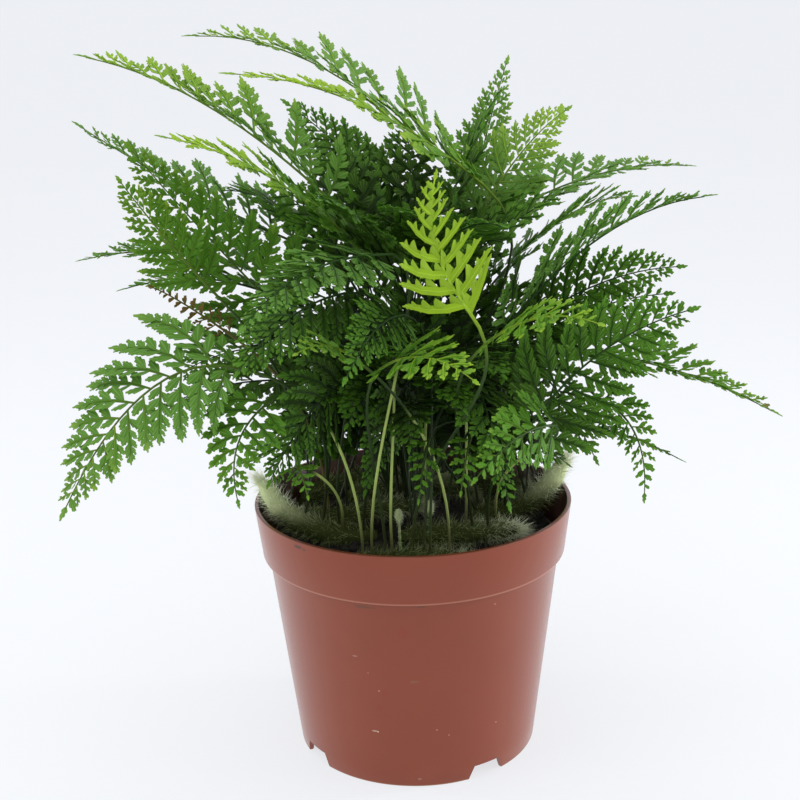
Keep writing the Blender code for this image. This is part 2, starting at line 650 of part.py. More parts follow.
def frond_rows():
    """Name, row, pairs of leaflets, freedom and material of every frond, in the order of placing."""
    rows = []
    for index, row in enumerate(DRY_FRONDS):
        name = f"dry_frond_{index + 1:02d}"
        material = plain_material(name + "_leaf", (0.16, 0.08, 0.035), 0.8)
        rows.append((name, row, FILLING_PAIRS, LEADING_FREEDOM, material))
    for index, row in enumerate([*LEADING_FRONDS, *filling_rows()]):
        name = f"frond_{index + 1:02d}"
        colour = (0.2, 0.36, 0.03) if index + 1 in YOUNG_FRONDS else (0.035, 0.14, 0.02)
        leading = index < len(LEADING_FRONDS)
        longest = row[6]
        pairs = LEADING_PAIRS if leading and longest > SMALL_FROND else FILLING_PAIRS
        freedom = LEADING_FREEDOM if leading else FILLING_FREEDOM
        rows.append((name, row, pairs, freedom, plain_material(name + "_leaf", colour, 0.5)))
    return rows


def main():
    for obj in list(bpy.data.objects):
        bpy.data.objects.remove(obj)
    pot = make_pot()
    soil = make_soil(len(RHIZOME_ROUTES))
    rhizomes = make_rhizomes()
    croziers = make_croziers()
    place_fronds(frond_rows(), [pot, soil, *rhizomes, *croziers])


main()
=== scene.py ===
# Potted rabbit's foot fern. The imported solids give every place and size, and this script dresses them:
# finely cut fronds, furry rhizomes, loose soil and a moulded pot, on a plain pale floor.
import bisect
import json
import math
import random
import bmesh
import bpy
import numpy as np
from mathutils import Matrix, Vector, noise


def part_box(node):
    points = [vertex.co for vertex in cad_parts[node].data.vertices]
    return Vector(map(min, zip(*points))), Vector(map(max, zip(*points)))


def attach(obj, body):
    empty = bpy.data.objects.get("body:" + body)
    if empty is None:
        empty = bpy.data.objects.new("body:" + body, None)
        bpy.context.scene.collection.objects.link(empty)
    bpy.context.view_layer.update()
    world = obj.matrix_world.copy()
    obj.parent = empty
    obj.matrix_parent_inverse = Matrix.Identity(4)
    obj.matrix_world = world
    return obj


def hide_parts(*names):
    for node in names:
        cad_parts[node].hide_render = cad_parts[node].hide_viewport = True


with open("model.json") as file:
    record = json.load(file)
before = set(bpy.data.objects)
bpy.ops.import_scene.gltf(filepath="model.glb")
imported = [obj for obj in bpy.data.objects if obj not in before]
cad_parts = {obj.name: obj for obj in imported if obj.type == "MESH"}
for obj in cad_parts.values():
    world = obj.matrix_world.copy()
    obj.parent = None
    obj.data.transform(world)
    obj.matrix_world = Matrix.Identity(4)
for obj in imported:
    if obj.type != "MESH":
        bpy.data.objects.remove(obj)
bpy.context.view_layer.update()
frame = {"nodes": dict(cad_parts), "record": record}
mm = 0.001
up = Vector((0, 0, 1))
print("frame loaded:", len(frame["nodes"]), "nodes")


# Shader graphs
class Wire:
    # a socket of a shader graph that takes part in sums, products and powers
    def __init__(self, tree, socket=None):
        self.tree = tree
        self.socket = socket

    def node(self, kind, settings=None, sockets=None, out=0):
        made = self.tree.nodes.new(kind)
        for key, value in (settings or {}).items():
            setattr(made, key, value)
        for key, value in (sockets or {}).items():
            if isinstance(value, Wire):
                self.tree.links.new(value.socket, made.inputs[key])
            else:
                made.inputs[key].default_value = value
        return Wire(self.tree, made.outputs[out])

    def other(self, name):
        return Wire(self.tree, self.socket.node.outputs[name])

    def split(self):
        x = self.node("ShaderNodeSeparateXYZ", None, {0: self})
        return x, x.other("Y"), x.other("Z")

    def maths(self, operation, *values):
        return self.node("ShaderNodeMath", {"operation": operation}, dict(enumerate(values)))

    def clamp(self, low=0.0, high=1.0):
        return self.node("ShaderNodeClamp", None, {0: self, 1: low, 2: high})

    def __add__(self, value):
        return self.maths("ADD", self, value)

    def __mul__(self, value):
        return self.maths("MULTIPLY", self, value)

    def __sub__(self, value):
        return self.maths("SUBTRACT", self, value)

    def __rsub__(self, value):
        return self.maths("SUBTRACT", value, self)

    def __truediv__(self, value):
        return self.maths("DIVIDE", self, value)

    def __pow__(self, value):
        return self.maths("POWER", self, value)

    __radd__ = __add__
    __rmul__ = __mul__


def tone(red, green, blue):
    # a screen colour of 0 to 255 as the linear one that a shader takes
    parts = [part / 255 for part in (red, green, blue)]
    return (*(part / 12.92 if part < 0.04 else ((part + 0.055) / 1.055) ** 2.4 for part in parts), 1)


def mixed(factor, first, second):
    source = next(part for part in (factor, first, second) if isinstance(part, Wire))
    return source.node("ShaderNodeMix", {"data_type": "RGBA"}, {0: factor, 6: first, 7: second}, 2)


def newMaterial(name, roughness, **fixed):
    material = bpy.data.materials.new(name)
    material.use_nodes = True
    shader = material.node_tree.nodes["Principled BSDF"]
    shader.inputs["Roughness"].default_value = roughness
    for socket, value in fixed.items():
        shader.inputs[socket.replace("_", " ")].default_value = value
    return material, Wire(material.node_tree), shader


def feed(shader, socket, wire):
    wire.tree.links.new(wire.socket, shader.inputs[socket])


def bumped(height, distance, strength=1.0):
    sockets = {"Strength": strength, "Distance": distance, "Height": height}
    return height.node("ShaderNodeBump", None, sockets)


def speckle(graph, coordinates, scale, detail=3.0, rough=0.55):
    sockets = {"Vector": coordinates, "Scale": scale, "Detail": detail, "Roughness": rough}
    return graph.node("ShaderNodeTexNoise", None, sockets)


def steps(wire, low, high):
    # 0 below low, 1 above high and smooth between them
    sockets = {"Value": wire, "From Min": low, "From Max": high}
    return wire.node("ShaderNodeMapRange", {"interpolation_type": "SMOOTHSTEP"}, sockets)


def objectPlace(graph):
    return graph.node("ShaderNodeTexCoord", None, None, "Object")


def carried(graph, name):
    # the three values that each point of the mesh carries under this name
    return graph.node("ShaderNodeAttribute", {"attribute_name": name}, None, "Vector").split()


# Meshes
def newPiece(name, bm, materials, smoothTo=math.radians(40)):
    mesh = bpy.data.meshes.new(name)
    bm.to_mesh(mesh)
    bm.free()
    mesh.shade_smooth()
    mesh.set_sharp_from_angle(angle=smoothTo)
    for material in materials:
        mesh.materials.append(material)
    piece = bpy.data.objects.new(name, mesh)
    bpy.context.scene.collection.objects.link(piece)
    return piece


def settle(piece, slot, *nodes):
    # the piece stands for its CAD nodes and moves with the object's only body
    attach(piece, "root")
    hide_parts(*nodes)


def smoothLine(points, count):
    # points spaced along a Catmull-Rom curve through the given ones
    padded = [2 * points[0] - points[1], *points, 2 * points[-1] - points[-2]]
    spans = len(points) - 1
    line = []
    for step in range(count):
        place = spans * step / (count - 1)
        span = min(int(place), spans - 1)
        t = place - span
        a, b, c, d = padded[span:span + 4]
        bend = (2 * a - 5 * b + 4 * c - d) * t * t + (3 * b - a - 3 * c + d) * t ** 3
        line.append(0.5 * (2 * b + (c - a) * t + bend))
    return line


def bezierPoints(a, b, c, d, count=22):
    points = []
    for step in range(count):
        t = step / (count - 1)
        s = 1 - t
        points.append(a * s ** 3 + b * (3 * s * s * t) + c * (3 * s * t * t) + d * t ** 3)
    return points


def tubeBody(bm, line, radii, sides):
    # a closed tube along the line, with one ring of each radius
    tangent = (line[1] - line[0]).normalized()
    normal = tangent.orthogonal().normalized()
    rings = []
    for index, (point, radius) in enumerate(zip(line, radii)):
        turned = (line[min(index + 1, len(line) - 1)] - line[max(index - 1, 0)]).normalized()
        normal = tangent.rotation_difference(turned) @ normal
        tangent = turned
        turn = Matrix((normal, tangent.cross(normal), tangent)).transposed().to_4x4()
        place = Matrix.Translation(point) @ turn
        ring = bmesh.ops.create_circle(bm, cap_ends=False, segments=sides, radius=radius, matrix=place)
        rings.append({edge for vert in ring["verts"] for edge in vert.link_edges})
    for lower, upper in zip(rings, rings[1:]):
        bmesh.ops.bridge_loops(bm, edges=list(lower | upper))
    for ring in (rings[0], rings[-1]):
        bmesh.ops.contextual_create(bm, geom=list(ring))
    bmesh.ops.recalc_face_normals(bm, faces=bm.faces[:])


def lathe(outline, turns):
    # the outline of radii and heights, turned about the pot's axis
    bm = bmesh.new()
    points = [bm.verts.new((radius, 0, height)) for radius, height in outline]
    for start, end in zip(points, points[1:]):
        bm.edges.new((start, end))
    drawn = bm.verts[:] + bm.edges[:]
    bmesh.ops.spin(bm, geom=drawn, axis=up, cent=(0, 0, 0), angle=math.tau, steps=turns, use_merge=True)
    bmesh.ops.remove_doubles(bm, verts=bm.verts[:], dist=0.01 * mm)
    return bm


def onLine(line, station):
    # the step and point at this station, with the directions along the line, beside it and over it
    step = min(int(station), len(line) - 2)
    point = line[step].lerp(line[step + 1], station - step)
    along = (line[step + 1] - line[step]).normalized()
    flank = along.cross(up).normalized()
    return step, point, along, flank, flank.cross(along).normalized()


def shaken(rng, value, reach):
    return value + rng.uniform(-reach, reach)


def randomVector(rng):
    return Vector((rng.uniform(-1, 1), rng.uniform(-1, 1), rng.uniform(-1, 1)))


# The plant's plan, as in the part's source. Rhizomes: the middle line of each in mm, and its radius in mm.
rhizomeRoutes = (
    (((-14, -12, 86), (-32, -15, 89), (-47, -15, 97), (-56, -15, 110)), 4.6),
    (((22, 6, 86), (40, 4, 90), (51, 2, 99), (58, 0, 111)), 4.4),
    (((-4, -16, 87), (10, -19, 89), (24, -22, 91), (39, -24, 92)), 4.4),
    (((-22, -36, 85), (-8, -39, 87), (6, -39, 88), (22, -40, 87)), 4.0),
    (((-46, 8, 86), (-30, 0, 89), (-14, 4, 91), (4, 8, 90)), 4.4),
    (((-26, 28, 87), (-9, 26, 92), (7, 26, 94), (24, 21, 90)), 4.8),
    (((-44, 24, 86), (-32, 40, 88), (-12, 45, 88), (4, 44, 87)), 4.4),
    (((16, 44, 86), (32, 38, 88), (44, 24, 89), (47, 16, 92)), 4.2),
)
rhizomeRings = 9
seatGap = 0.45 * mm
flankLean = 0.55

# Coiled young fronds: rhizome, place along it, height of the stalk and radius of the coil in mm
croziers = (
    (3, 0.42, 11, 2.6),
    (3, 0.66, 13, 3.0),
)

# Fronds: rhizome, place along it, crown, tip, direction of the upper face, fold in degrees, length of the
# longest pinna and bow of the rib, with lengths in mm
leadingFronds = (
    (0, 0.40, (-57, -52, 163), (-113, -75, 123), (-0.3, -0.6, 0.75), 4, 34, (-1, 0, 21)),
    (3, 0.08, (-47, -56, 152), (-56, -80, 126), (-0.3, -0.9, 0.3), 8, 19, (-6, -3, 4)),
    (3, 0.50, (19, -63, 183), (8, -72, 228), (0.1, -0.95, 0.3), 14, 24, (-7, 0, 0)),
    (3, 0.30, (-7, -62, 166), (19, -98, 170), (-0.1, -0.45, 0.88), 8, 20, (0, 0, 6)),
    (3, 0.80, (-19, -62, 169), (-34, -92, 178), (0, -0.5, 0.85), 4, 14, (0, 0, 4)),
    (2, 0.60, (28, -68, 175), (55, -104, 188), (0, -0.4, 0.92), 8, 18, (0, 0, 6)),
    (3, 0.18, (-8, -46, 199), (-48, -98, 188), (0, -0.3, 0.95), 0, 24, (-3, -3, 7)),
    (2, 0.75, (40, -46, 138), (88, -72, 184), (-0.2, -0.85, 0.5), 6, 34, (-3, 0, 8)),
    (1, 0.50, (57, -22, 158), (127, -30, 137), (0, -0.15, 1), 26, 28, (0, 0, 6)),
    (1, 0.30, (60, -48, 152), (75, -72, 131), (0.2, -0.9, 0.3), 4, 16, (6, -2, 6)),
    (2, 0.92, (50, -68, 148), (26, -100, 143), (0, -0.75, 0.65), 0, 20, (0, -3, 7)),
    (0, 0.25, (-39, -55, 129), (-34, -75, 126), (0, -0.7, 0.7), 0, 9, (0, 0, 3)),
    (3, 0.66, (6, -45, 134), (2, -62, 119), (0, -0.9, 0.4), 0, 9, (0, 0, 2)),
    (2, 0.40, (20, -48, 135), (16, -66, 123), (0, -0.9, 0.4), 0, 9, (0, 0, 2)),
    (2, 0.10, (28, 2, 214), (-58, -12, 256), (0, -0.15, 1), 14, 30, (0, 0, 12)),
    (0, 0.10, (-24, -20, 204), (-76, -50, 239), (0, -0.2, 1), 10, 28, (0, 0, 7)),
    (0, 0.55, (-44, -10, 170), (-91, -30, 233), (-0.4, -0.8, 0.45), 6, 32, (-4, 0, 3)),
    (0, 0.70, (-70, -32, 188), (-93, -45, 224), (-0.3, -0.7, 0.6), 0, 20, (-3, 0, 3)),
    (4, 0.10, (-55, 36, 176), (-128, 48, 182), (0, -0.1, 1), 20, 28, (0, 0, 8)),
    (4, 0.25, (-52, 4, 174), (-102, -18, 188), (0, -0.15, 1), 16, 22, (0, 0, 6)),
    (6, 0.15, (-44, 42, 188), (-126, 54, 233), (0, -0.15, 1), 22, 34, (0, 0, -3)),
    (4, 0.45, (-28, 6, 210), (-115, 22, 261), (0, -0.05, 1), 30, 36, (0, 0, 11)),
    (5, 0.35, (24, 50, 206), (-82, 72, 266), (0, -0.05, 1), 28, 38, (0, 0, 21)),
    (5, 0.70, (18, 40, 196), (33, 66, 245), (0, -0.9, 0.4), 6, 24, (0, 0, 4)),
    (5, 0.88, (26, 14, 200), (61, 36, 237), (0.2, -0.6, 0.75), 10, 25, (0, 0, 6)),
    (7, 0.50, (28, 42, 196), (110, 78, 217), (0, -0.05, 1), 24, 32, (0, 0, 10)),
    (1, 0.12, (34, -24, 168), (99, -36, 214), (0, -0.05, 1), 28, 32, (0, 0, 13)),
    (1, 0.66, (46, -2, 166), (94, -20, 185), (0.1, -0.7, 0.7), 12, 26, (0, 0, 6)),
    (1, 0.80, (44, 6, 156), (95, -28, 169), (0.1, -0.7, 0.7), 8, 26, (0, 0, 6)),
    (3, 0.36, (-20, -35, 184), (-56, -60, 164), (-0.2, -0.75, 0.65), 4, 27, (0, -3, 8)),
    (0, 0.15, (-22, -26, 154), (-48, -52, 116), (-0.25, -0.85, 0.5), 4, 28, (0, -4, 8)),
    (3, 0.60, (-7, -40, 177), (-29, -88, 160), (-0.1, -0.7, 0.7), 4, 21, (0, -4, 8)),
    (2, 0.30, (6, -26, 152), (-6, -52, 112), (0, -0.85, 0.5), 4, 27, (0, -4, 8)),
    (2, 0.50, (24, -26, 150), (22, -54, 112), (0.05, -0.85, 0.5), 4, 25, (0, -4, 8)),
    (1, 0.20, (36, -22, 158), (54, -50, 120), (0.25, -0.8, 0.5), 4, 26, (0, -4, 8)),
    (5, 0.50, (2, 28, 194), (-44, 42, 241), (0, -0.6, 0.8), 6, 28, (0, 0, 5)),
)

# The rest of the clump: bearing from and to in degrees, how many, radius and height of the crown and of the
# tip, and length of the longest pinna, with lengths in mm
fillingTiers = (
    (215, 325, 2, 13, 186, 66, 212, 30),
    (12, 168, 4, 34, 146, 98, 122, 32),
    (8, 172, 3, 32, 182, 105, 196, 34),
    (95, 445, 2, 30, 146, 80, 128, 30),
)
# the most by which the bearing, and the radius and height of crown and tip, are shaken
fillingShake = (5, 4, 5, 5, 6)
dryFrond = (4, 0.30, (-64, -16, 166), (-86, -38, 188), (-0.2, -0.8, 0.5), 10, 7, (-4, 0, 4))

# How a frond was bent clear of its neighbours: the box of its solid tells which attempt was kept
placing = {
    "seatMiss": 2 * mm,
    "sameBox": 0.01 * mm,
    "tries": 800,
    "leadingFreedom": 1.3,
    "fillingFreedom": 2.0,
    "crown": 9 * mm,
    "tip": 16 * mm,
    "face": 0.6,
    "stalk": 20 * mm,
    "shrink": 0.3,
}

# The solids' leaflets, of which scene pinnae keep the envelope
solidBlade = {
    "leadingPairs": 8,
    "fillingPairs": 6,
    "smallFrond": 21,
    "crowding": 1.25,
    "sideShift": 0.35,
    "rootAngle": math.radians(68),
    "tipAngle": math.radians(42),
    "thickness": 0.7 * mm,
    "stalkRadius": 0.8 * mm,
    "rail": 0.55 * mm,
    "railTaper": 0.25 * mm,
    "ribHeight": 0.65 * mm,
    "droop": 2.5,
    "lift": 1.6,
    "toothed": 19 * mm,
    "toothedLeaflet": ((0.44, -0.46), (0.54, -0.2), (1, 0.04), (0.6, 0.2), (0.5, 0.46)),
    "plainLeaflet": ((0.5, -0.4), (1, 0.06), (0.56, 0.42)),
    "stalkSteps": 5,
}


def rhizomeLine(index, count=rhizomeRings):
    return smoothLine([Vector(point) * mm for point in rhizomeRoutes[index][0]], count)


def rhizomeRadius(index, place):
    full = rhizomeRoutes[index][1] * mm
    return full * (0.55 + 0.45 * min(1, place / 0.12)) * (1 - 0.62 * max(0, (place - 0.72) / 0.28) ** 1.6)


def seatOnRhizome(index, place, lean):
    line = rhizomeLine(index)
    step, middle, along, flank, top = onLine(line, place * (len(line) - 1))
    out = (top + flankLean * lean * flank).normalized()
    return middle + out * (rhizomeRadius(index, place) + seatGap), out


class Spine:
    # the line of a frond from its seat over the crown to its tip, with the direction of its upper face
    def __init__(self, seat, out, crown, tip, face, bow, sway):
        chord = tip - crown
        blade = bezierPoints(crown, crown + chord / 3 + bow, tip - chord / 3 + bow, tip)
        start = (blade[1] - blade[0]).normalized()
        reach = (crown - seat).length
        lift = (out + solidBlade["lift"] * up).normalized()
        low = seat + lift * (0.42 * reach) + sway / 2
        stalk = bezierPoints(seat, low, crown - start * (0.36 * reach) + sway, crown)
        self.crownStep = len(stalk) - 1
        self.points = stalk + blade[1:]
        self.places = [0.0]
        for behind, ahead in zip(self.points, self.points[1:]):
            self.places.append(self.places[-1] + (ahead - behind).length)
        offset = self.places[self.crownStep]
        self.places = [place - offset for place in self.places]
        self.stalkLength = -self.places[0]
        self.bladeLength = self.places[-1]
        last = len(self.points) - 1
        self.tangents = [
            (self.points[min(step + 1, last)] - self.points[max(step - 1, 0)]).normalized()
            for step in range(last + 1)
        ]
        self.normals = [None] * (last + 1)
        base = self.tangents[self.crownStep]
        self.normals[self.crownStep] = (face - face.dot(base) * base).normalized()
        self.carryNormals(range(self.crownStep, 0, -1), -1)
        self.carryNormals(range(self.crownStep, last), 1)

    def carryNormals(self, stretch, direction):
        for step in stretch:
            turn = self.tangents[step].rotation_difference(self.tangents[step + direction])
            self.normals[step + direction] = turn @ self.normals[step]

    def bent(self, x, y, z, fold):
        # where a point of the flat frond comes to lie: x along the rib, y beside it and z over it
        step = min(max(bisect.bisect_right(self.places, x) - 1, 0), len(self.places) - 2)
        t = (x - self.places[step]) / (self.places[step + 1] - self.places[step])
        point = self.points[step].lerp(self.points[step + 1], t)
        held = min(max(t, 0), 1)
        normal = self.normals[step].lerp(self.normals[step + 1], held).normalized()
        tangent = self.tangents[step].lerp(self.tangents[step + 1], held).normalized()
        rise = abs(y) * math.sin(fold) - solidBlade["droop"] * y * y + z
        return point + normal.cross(tangent) * (y * math.cos(fold)) + normal * rise


def frondPlan(row, index, attempt, freedom):
    rhizome, place, crown, tip, face, fold, longest, bow = row
    rng = random.Random(1000 * index + attempt)
    shake = freedom * attempt / placing["tries"]
    lean = rng.choice((-1, 0, 1))
    place = min(0.95, max(0.05, place + rng.uniform(-0.3, 0.3) * shake))
    seat, out = seatOnRhizome(rhizome, place, lean)
    crown = Vector(crown) * mm + randomVector(rng) * (placing["crown"] * shake)
    tip = Vector(tip) * mm + randomVector(rng) * (placing["tip"] * shake)
    face = Vector(face) + randomVector(rng) * (placing["face"] * shake)
    sway = randomVector(rng) * (placing["stalk"] * shake)
    longest = longest * mm * (1 - placing["shrink"] * min(1, shake) * rng.random())
    return Spine(seat, out, crown, tip, face, Vector(bow) * mm, sway), math.radians(fold), longest


def aroundPot(rng, tiers, shake):
    # the heading, crown, tip and longest pinna of each frond in these tiers
    turn, crownOut, crownUp, tipOut, tipUp = shake
    for first, last, count, crownRadius, crownHeight, tipRadius, tipHeight, longest in tiers:
        for index in range(count):
            bearing = math.radians(shaken(rng, first + (last - first) * (index + 0.5) / count, turn))
            heading = Vector((math.cos(bearing), math.sin(bearing), 0))
            crown = heading * shaken(rng, crownRadius, crownOut) + up * shaken(rng, crownHeight, crownUp)
            tip = heading * shaken(rng, tipRadius, tipOut) + up * shaken(rng, tipHeight, tipUp)
            yield heading, crown, tip, longest


def fillingRows():
    rng = random.Random(7)
    rows = []
    for heading, crown, tip, longest in aroundPot(rng, fillingTiers, fillingShake):
        face = heading * 0.35 + up
        rhizome, place = nearestSeat(crown * mm)
        bow = up * rng.uniform(6, 12)
        rows.append((rhizome, place, crown[:], tip[:], face[:], rng.uniform(0, 14), longest, bow[:]))
    return rows


def nearestSeat(crown):
    aim = Vector((crown.x / 2, crown.y / 2, 0))
    found = []
    for index in range(len(rhizomeRoutes)):
        line = rhizomeLine(index)
        for step in range(1, len(line) - 1):
            distance = (Vector((line[step].x, line[step].y, 0)) - aim).length
            found.append((distance, index, step / (len(line) - 1)))
    return min(found)[1:]


def pinnaLength(share, longest):
    return longest * (0.06 + 0.94 * (1 - share) ** 0.85) * (1 - 0.14 * math.exp(-(share / 0.08) ** 2))


def solidPoints(spine, fold, longest, pairs):
    # the corners of the solid frond: its stalk, its tip and the outlines of its leaflets
    half = solidBlade["thickness"] / 2
    radius = solidBlade["stalkRadius"]
    found = [spine.bent(spine.bladeLength, 0, side * half, fold) for side in (-1, 1)]
    for across in (-solidBlade["rail"], solidBlade["rail"]):
        found += [spine.bent(0, across, side * solidBlade["ribHeight"], fold) for side in (-1, 1)]
    for step in range(solidBlade["stalkSteps"]):
        x = -spine.stalkLength * (1 - step / solidBlade["stalkSteps"])
        for across in (-radius, radius):
            found += [spine.bent(x, across, over, fold) for over in (-radius, radius)]
    for side in (-1, 1):
        shift = solidBlade["sideShift"] if side > 0 else 0
        shares = [(step + shift) / (pairs + 0.5) for step in range(1, pairs + 1)]
        shares = [0] + [1 - (1 - share) ** solidBlade["crowding"] for share in shares]
        for start, end in zip(shares, shares[1:]):
            share = (start + end) / 2
            angle = solidBlade["rootAngle"] + (solidBlade["tipAngle"] - solidBlade["rootAngle"]) * share
            length = pinnaLength(share, longest)
            width = (end - start) * spine.bladeLength * math.sin(angle)
            rail = solidBlade["rail"] - solidBlade["railTaper"] * share
            corners = solidBlade["toothedLeaflet" if length > solidBlade["toothed"] else "plainLeaflet"]
            for reach, spread in corners:
                out = length * reach
                ahead = width * spread
                x = share * spine.bladeLength + out * math.cos(angle) + ahead * math.sin(angle)
                y = side * (rail + out * math.sin(angle) - ahead * math.cos(angle))
                found += [spine.bent(x, y, -half, fold), spine.bent(x, y, half, fold)]
    return found


def frondAsBuilt(node, row, index, pairs, freedom):
    # the attempt whose outer points span the box of the solid
    low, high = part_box(node)
    best = None
    for attempt in range(placing["tries"]):
        plan = frondPlan(row, index, attempt, freedom)
        if abs(plan[0].points[0].z - solidBlade["stalkRadius"] - low.z) > placing["seatMiss"]:
            continue
        corners = solidPoints(*plan, pairs)
        miss = 0
        for axis in range(3):
            values = [point[axis] for point in corners]
            miss = max(miss, abs(min(values) - low[axis]), abs(max(values) - high[axis]))
        if best is None or miss < best[0]:
            best = (miss, plan)
        if miss < placing["sameBox"]:
            break
    return best[1]


# Fronds. The numbers are those of the nodes, and 0 is the dry frond.
frondLook = {
    "leadingPairs": 12,
    "fillingPairs": 10,
    "innerPairs": 8,
    "crowding": 1.3,
    "pinnuleAngle": math.radians(35),
    "reach": 0.72,
    "pinnuleShape": 0.4,
    "pinnuleStep": 0.3,
    "leastStride": 1.15 * mm,
    "onePinnule": 5 * mm,
    "bluntTip": 6 * mm,
    "longestPinnule": 8.5 * mm,
    "thickness": 0.15 * mm,
    "ribThickness": 0.34 * mm,
    "ribWidth": 0.36 * mm,
    "wing": 0.55 * mm,
    "stalkRadius": 0.52 * mm,
    "crownRadius": 0.48 * mm,
    "tipRadius": 0.18 * mm,
    "stalkSides": 8,
    "sunk": 1.4 * mm,
    # fronds with tender, pale ends
    "tender": (15, 16, 22, 23, 25),
    # how young each frond looks, from 0, dark and full grown, to 1, yellow-green
    "youth": {
        1: 0.36, 2: 0.3, 3: 0.95, 4: 0.52, 5: 0.48, 6: 0.52, 7: 0.12, 8: 0.12, 9: 0.35, 10: 0.3, 11: 0.28,
        12: 0.35, 13: 0.3, 14: 0.35, 15: 0.5, 16: 0.46, 17: 0.36, 18: 0.4, 19: 0.25, 20: 0.25, 21: 0.25,
        22: 0.42, 23: 0.4, 24: 0.36, 25: 0.42, 26: 0.36, 27: 0.2, 28: 0.2, 29: 0.25, 39: 0.3, 43: 0.36,
    },
    # painted light: fronds at the back are painted paler, as they look in the soft light, and some in front
    # get a painted pale sheen
    "haze": {
        1: 0.45, 5: 0.3, 7: 0.3, 19: 0.7, 21: 0.9, 22: 0.35, 23: 0.9, 24: 0.5, 25: 0.45, 26: 0.75, 27: 0.3,
    },
    # where along the blade a withered tip begins
    "dryTips": {9: 0.93, 15: 0.97, 28: 0.95},
    # how much broader and fewer the pinnules are than usual
    "coarse": {2: 1.3, 4: 1.85, 5: 1.8, 6: 1.9, 11: 1.3, 12: 1.5, 13: 1.5, 14: 1.5, 15: 1.1},
    # how many pairs of pinnae, where it is not the usual number
    "pairs": {2: 8, 3: 9, 4: 6, 5: 6, 6: 7, 10: 9, 11: 8, 12: 5, 13: 5, 14: 5, 15: 11, 22: 14, 23: 13},
    # a plain frond with saw-edged pinnae like a fishbone
    "saw": (3,),
    "stout": {1: 1.1, 3: 1.25, 8: 1.1},
    # fronds whose stalks show as pale lines in front of the dark heart
    "paleStalks": (2, 5, 7, 11, 12, 30, 33, 34),
}

# Outlines of a pinnule in shares of its length and width: the edge towards the tip, then the other edge
broadPinnule = (
    ((0.1, 0.12), (0.36, 0.4), (0.6, 0.56), (0.7, 0.36), (0.86, 0.44), (0.9, 0.2), (0.99, 0.16)),
    ((0.1, -0.12), (0.34, -0.42), (0.54, -0.56), (0.63, -0.34), (0.8, -0.44), (0.86, -0.2), (0.97, -0.16)),
)
plainPinnule = (
    ((0.12, 0.15), (0.46, 0.5), (0.68, 0.52), (0.75, 0.28), (0.95, 0.3)),
    ((0.12, -0.15), (0.42, -0.5), (0.62, -0.5), (0.71, -0.26), (0.93, -0.28)),
)
smallPinnule = (
    ((0.2, 0.34), (0.62, 0.56), (0.92, 0.32)),
    ((0.2, -0.34), (0.66, -0.54), (0.95, -0.28)),
)
sawPinnule = (
    ((0.0, 0.4), (0.3, 0.26), (0.75, 0.12)),
    ((0.0, -0.6), (0.4, -0.5), (0.8, -0.26)),
)
lobedTip = (
    (
        (0.06, 0.2), (0.24, 0.52), (0.34, 0.5), (0.4, 0.32),
        (0.56, 0.44), (0.66, 0.38), (0.7, 0.2), (0.92, 0.2),
    ),
    ((0.1, -0.2), (0.3, -0.52), (0.42, -0.48), (0.48, -0.28), (0.64, -0.4), (0.76, -0.32), (0.84, -0.14)),
)
betweenVeins = (0.1, 0.026, 0.5)

# A pinna: how its rib and the tissue beside it taper, how it curves, and the pinnules' sizes
pinnaShape = {
    "stations": (0, 0.3, 0.6, 0.92),
    "ribTaper": (1, 0.8, 0.6, 0.4),
    "wingTaper": (0.6, 1, 1.6, 1.4),
    "sawWingTaper": (2.4, 2.4, 2.2, 1.2),
    "curve": 0.16,
    "longestShare": 0.44,
    "firstPinnule": 0.07,
    "lastPinnule": 0.86,
    "tipPinnule": 0.8,
    "broadFrom": 4.4 * mm,
    "plainFrom": 2.6 * mm,
    "sawAngle": math.radians(54),
}


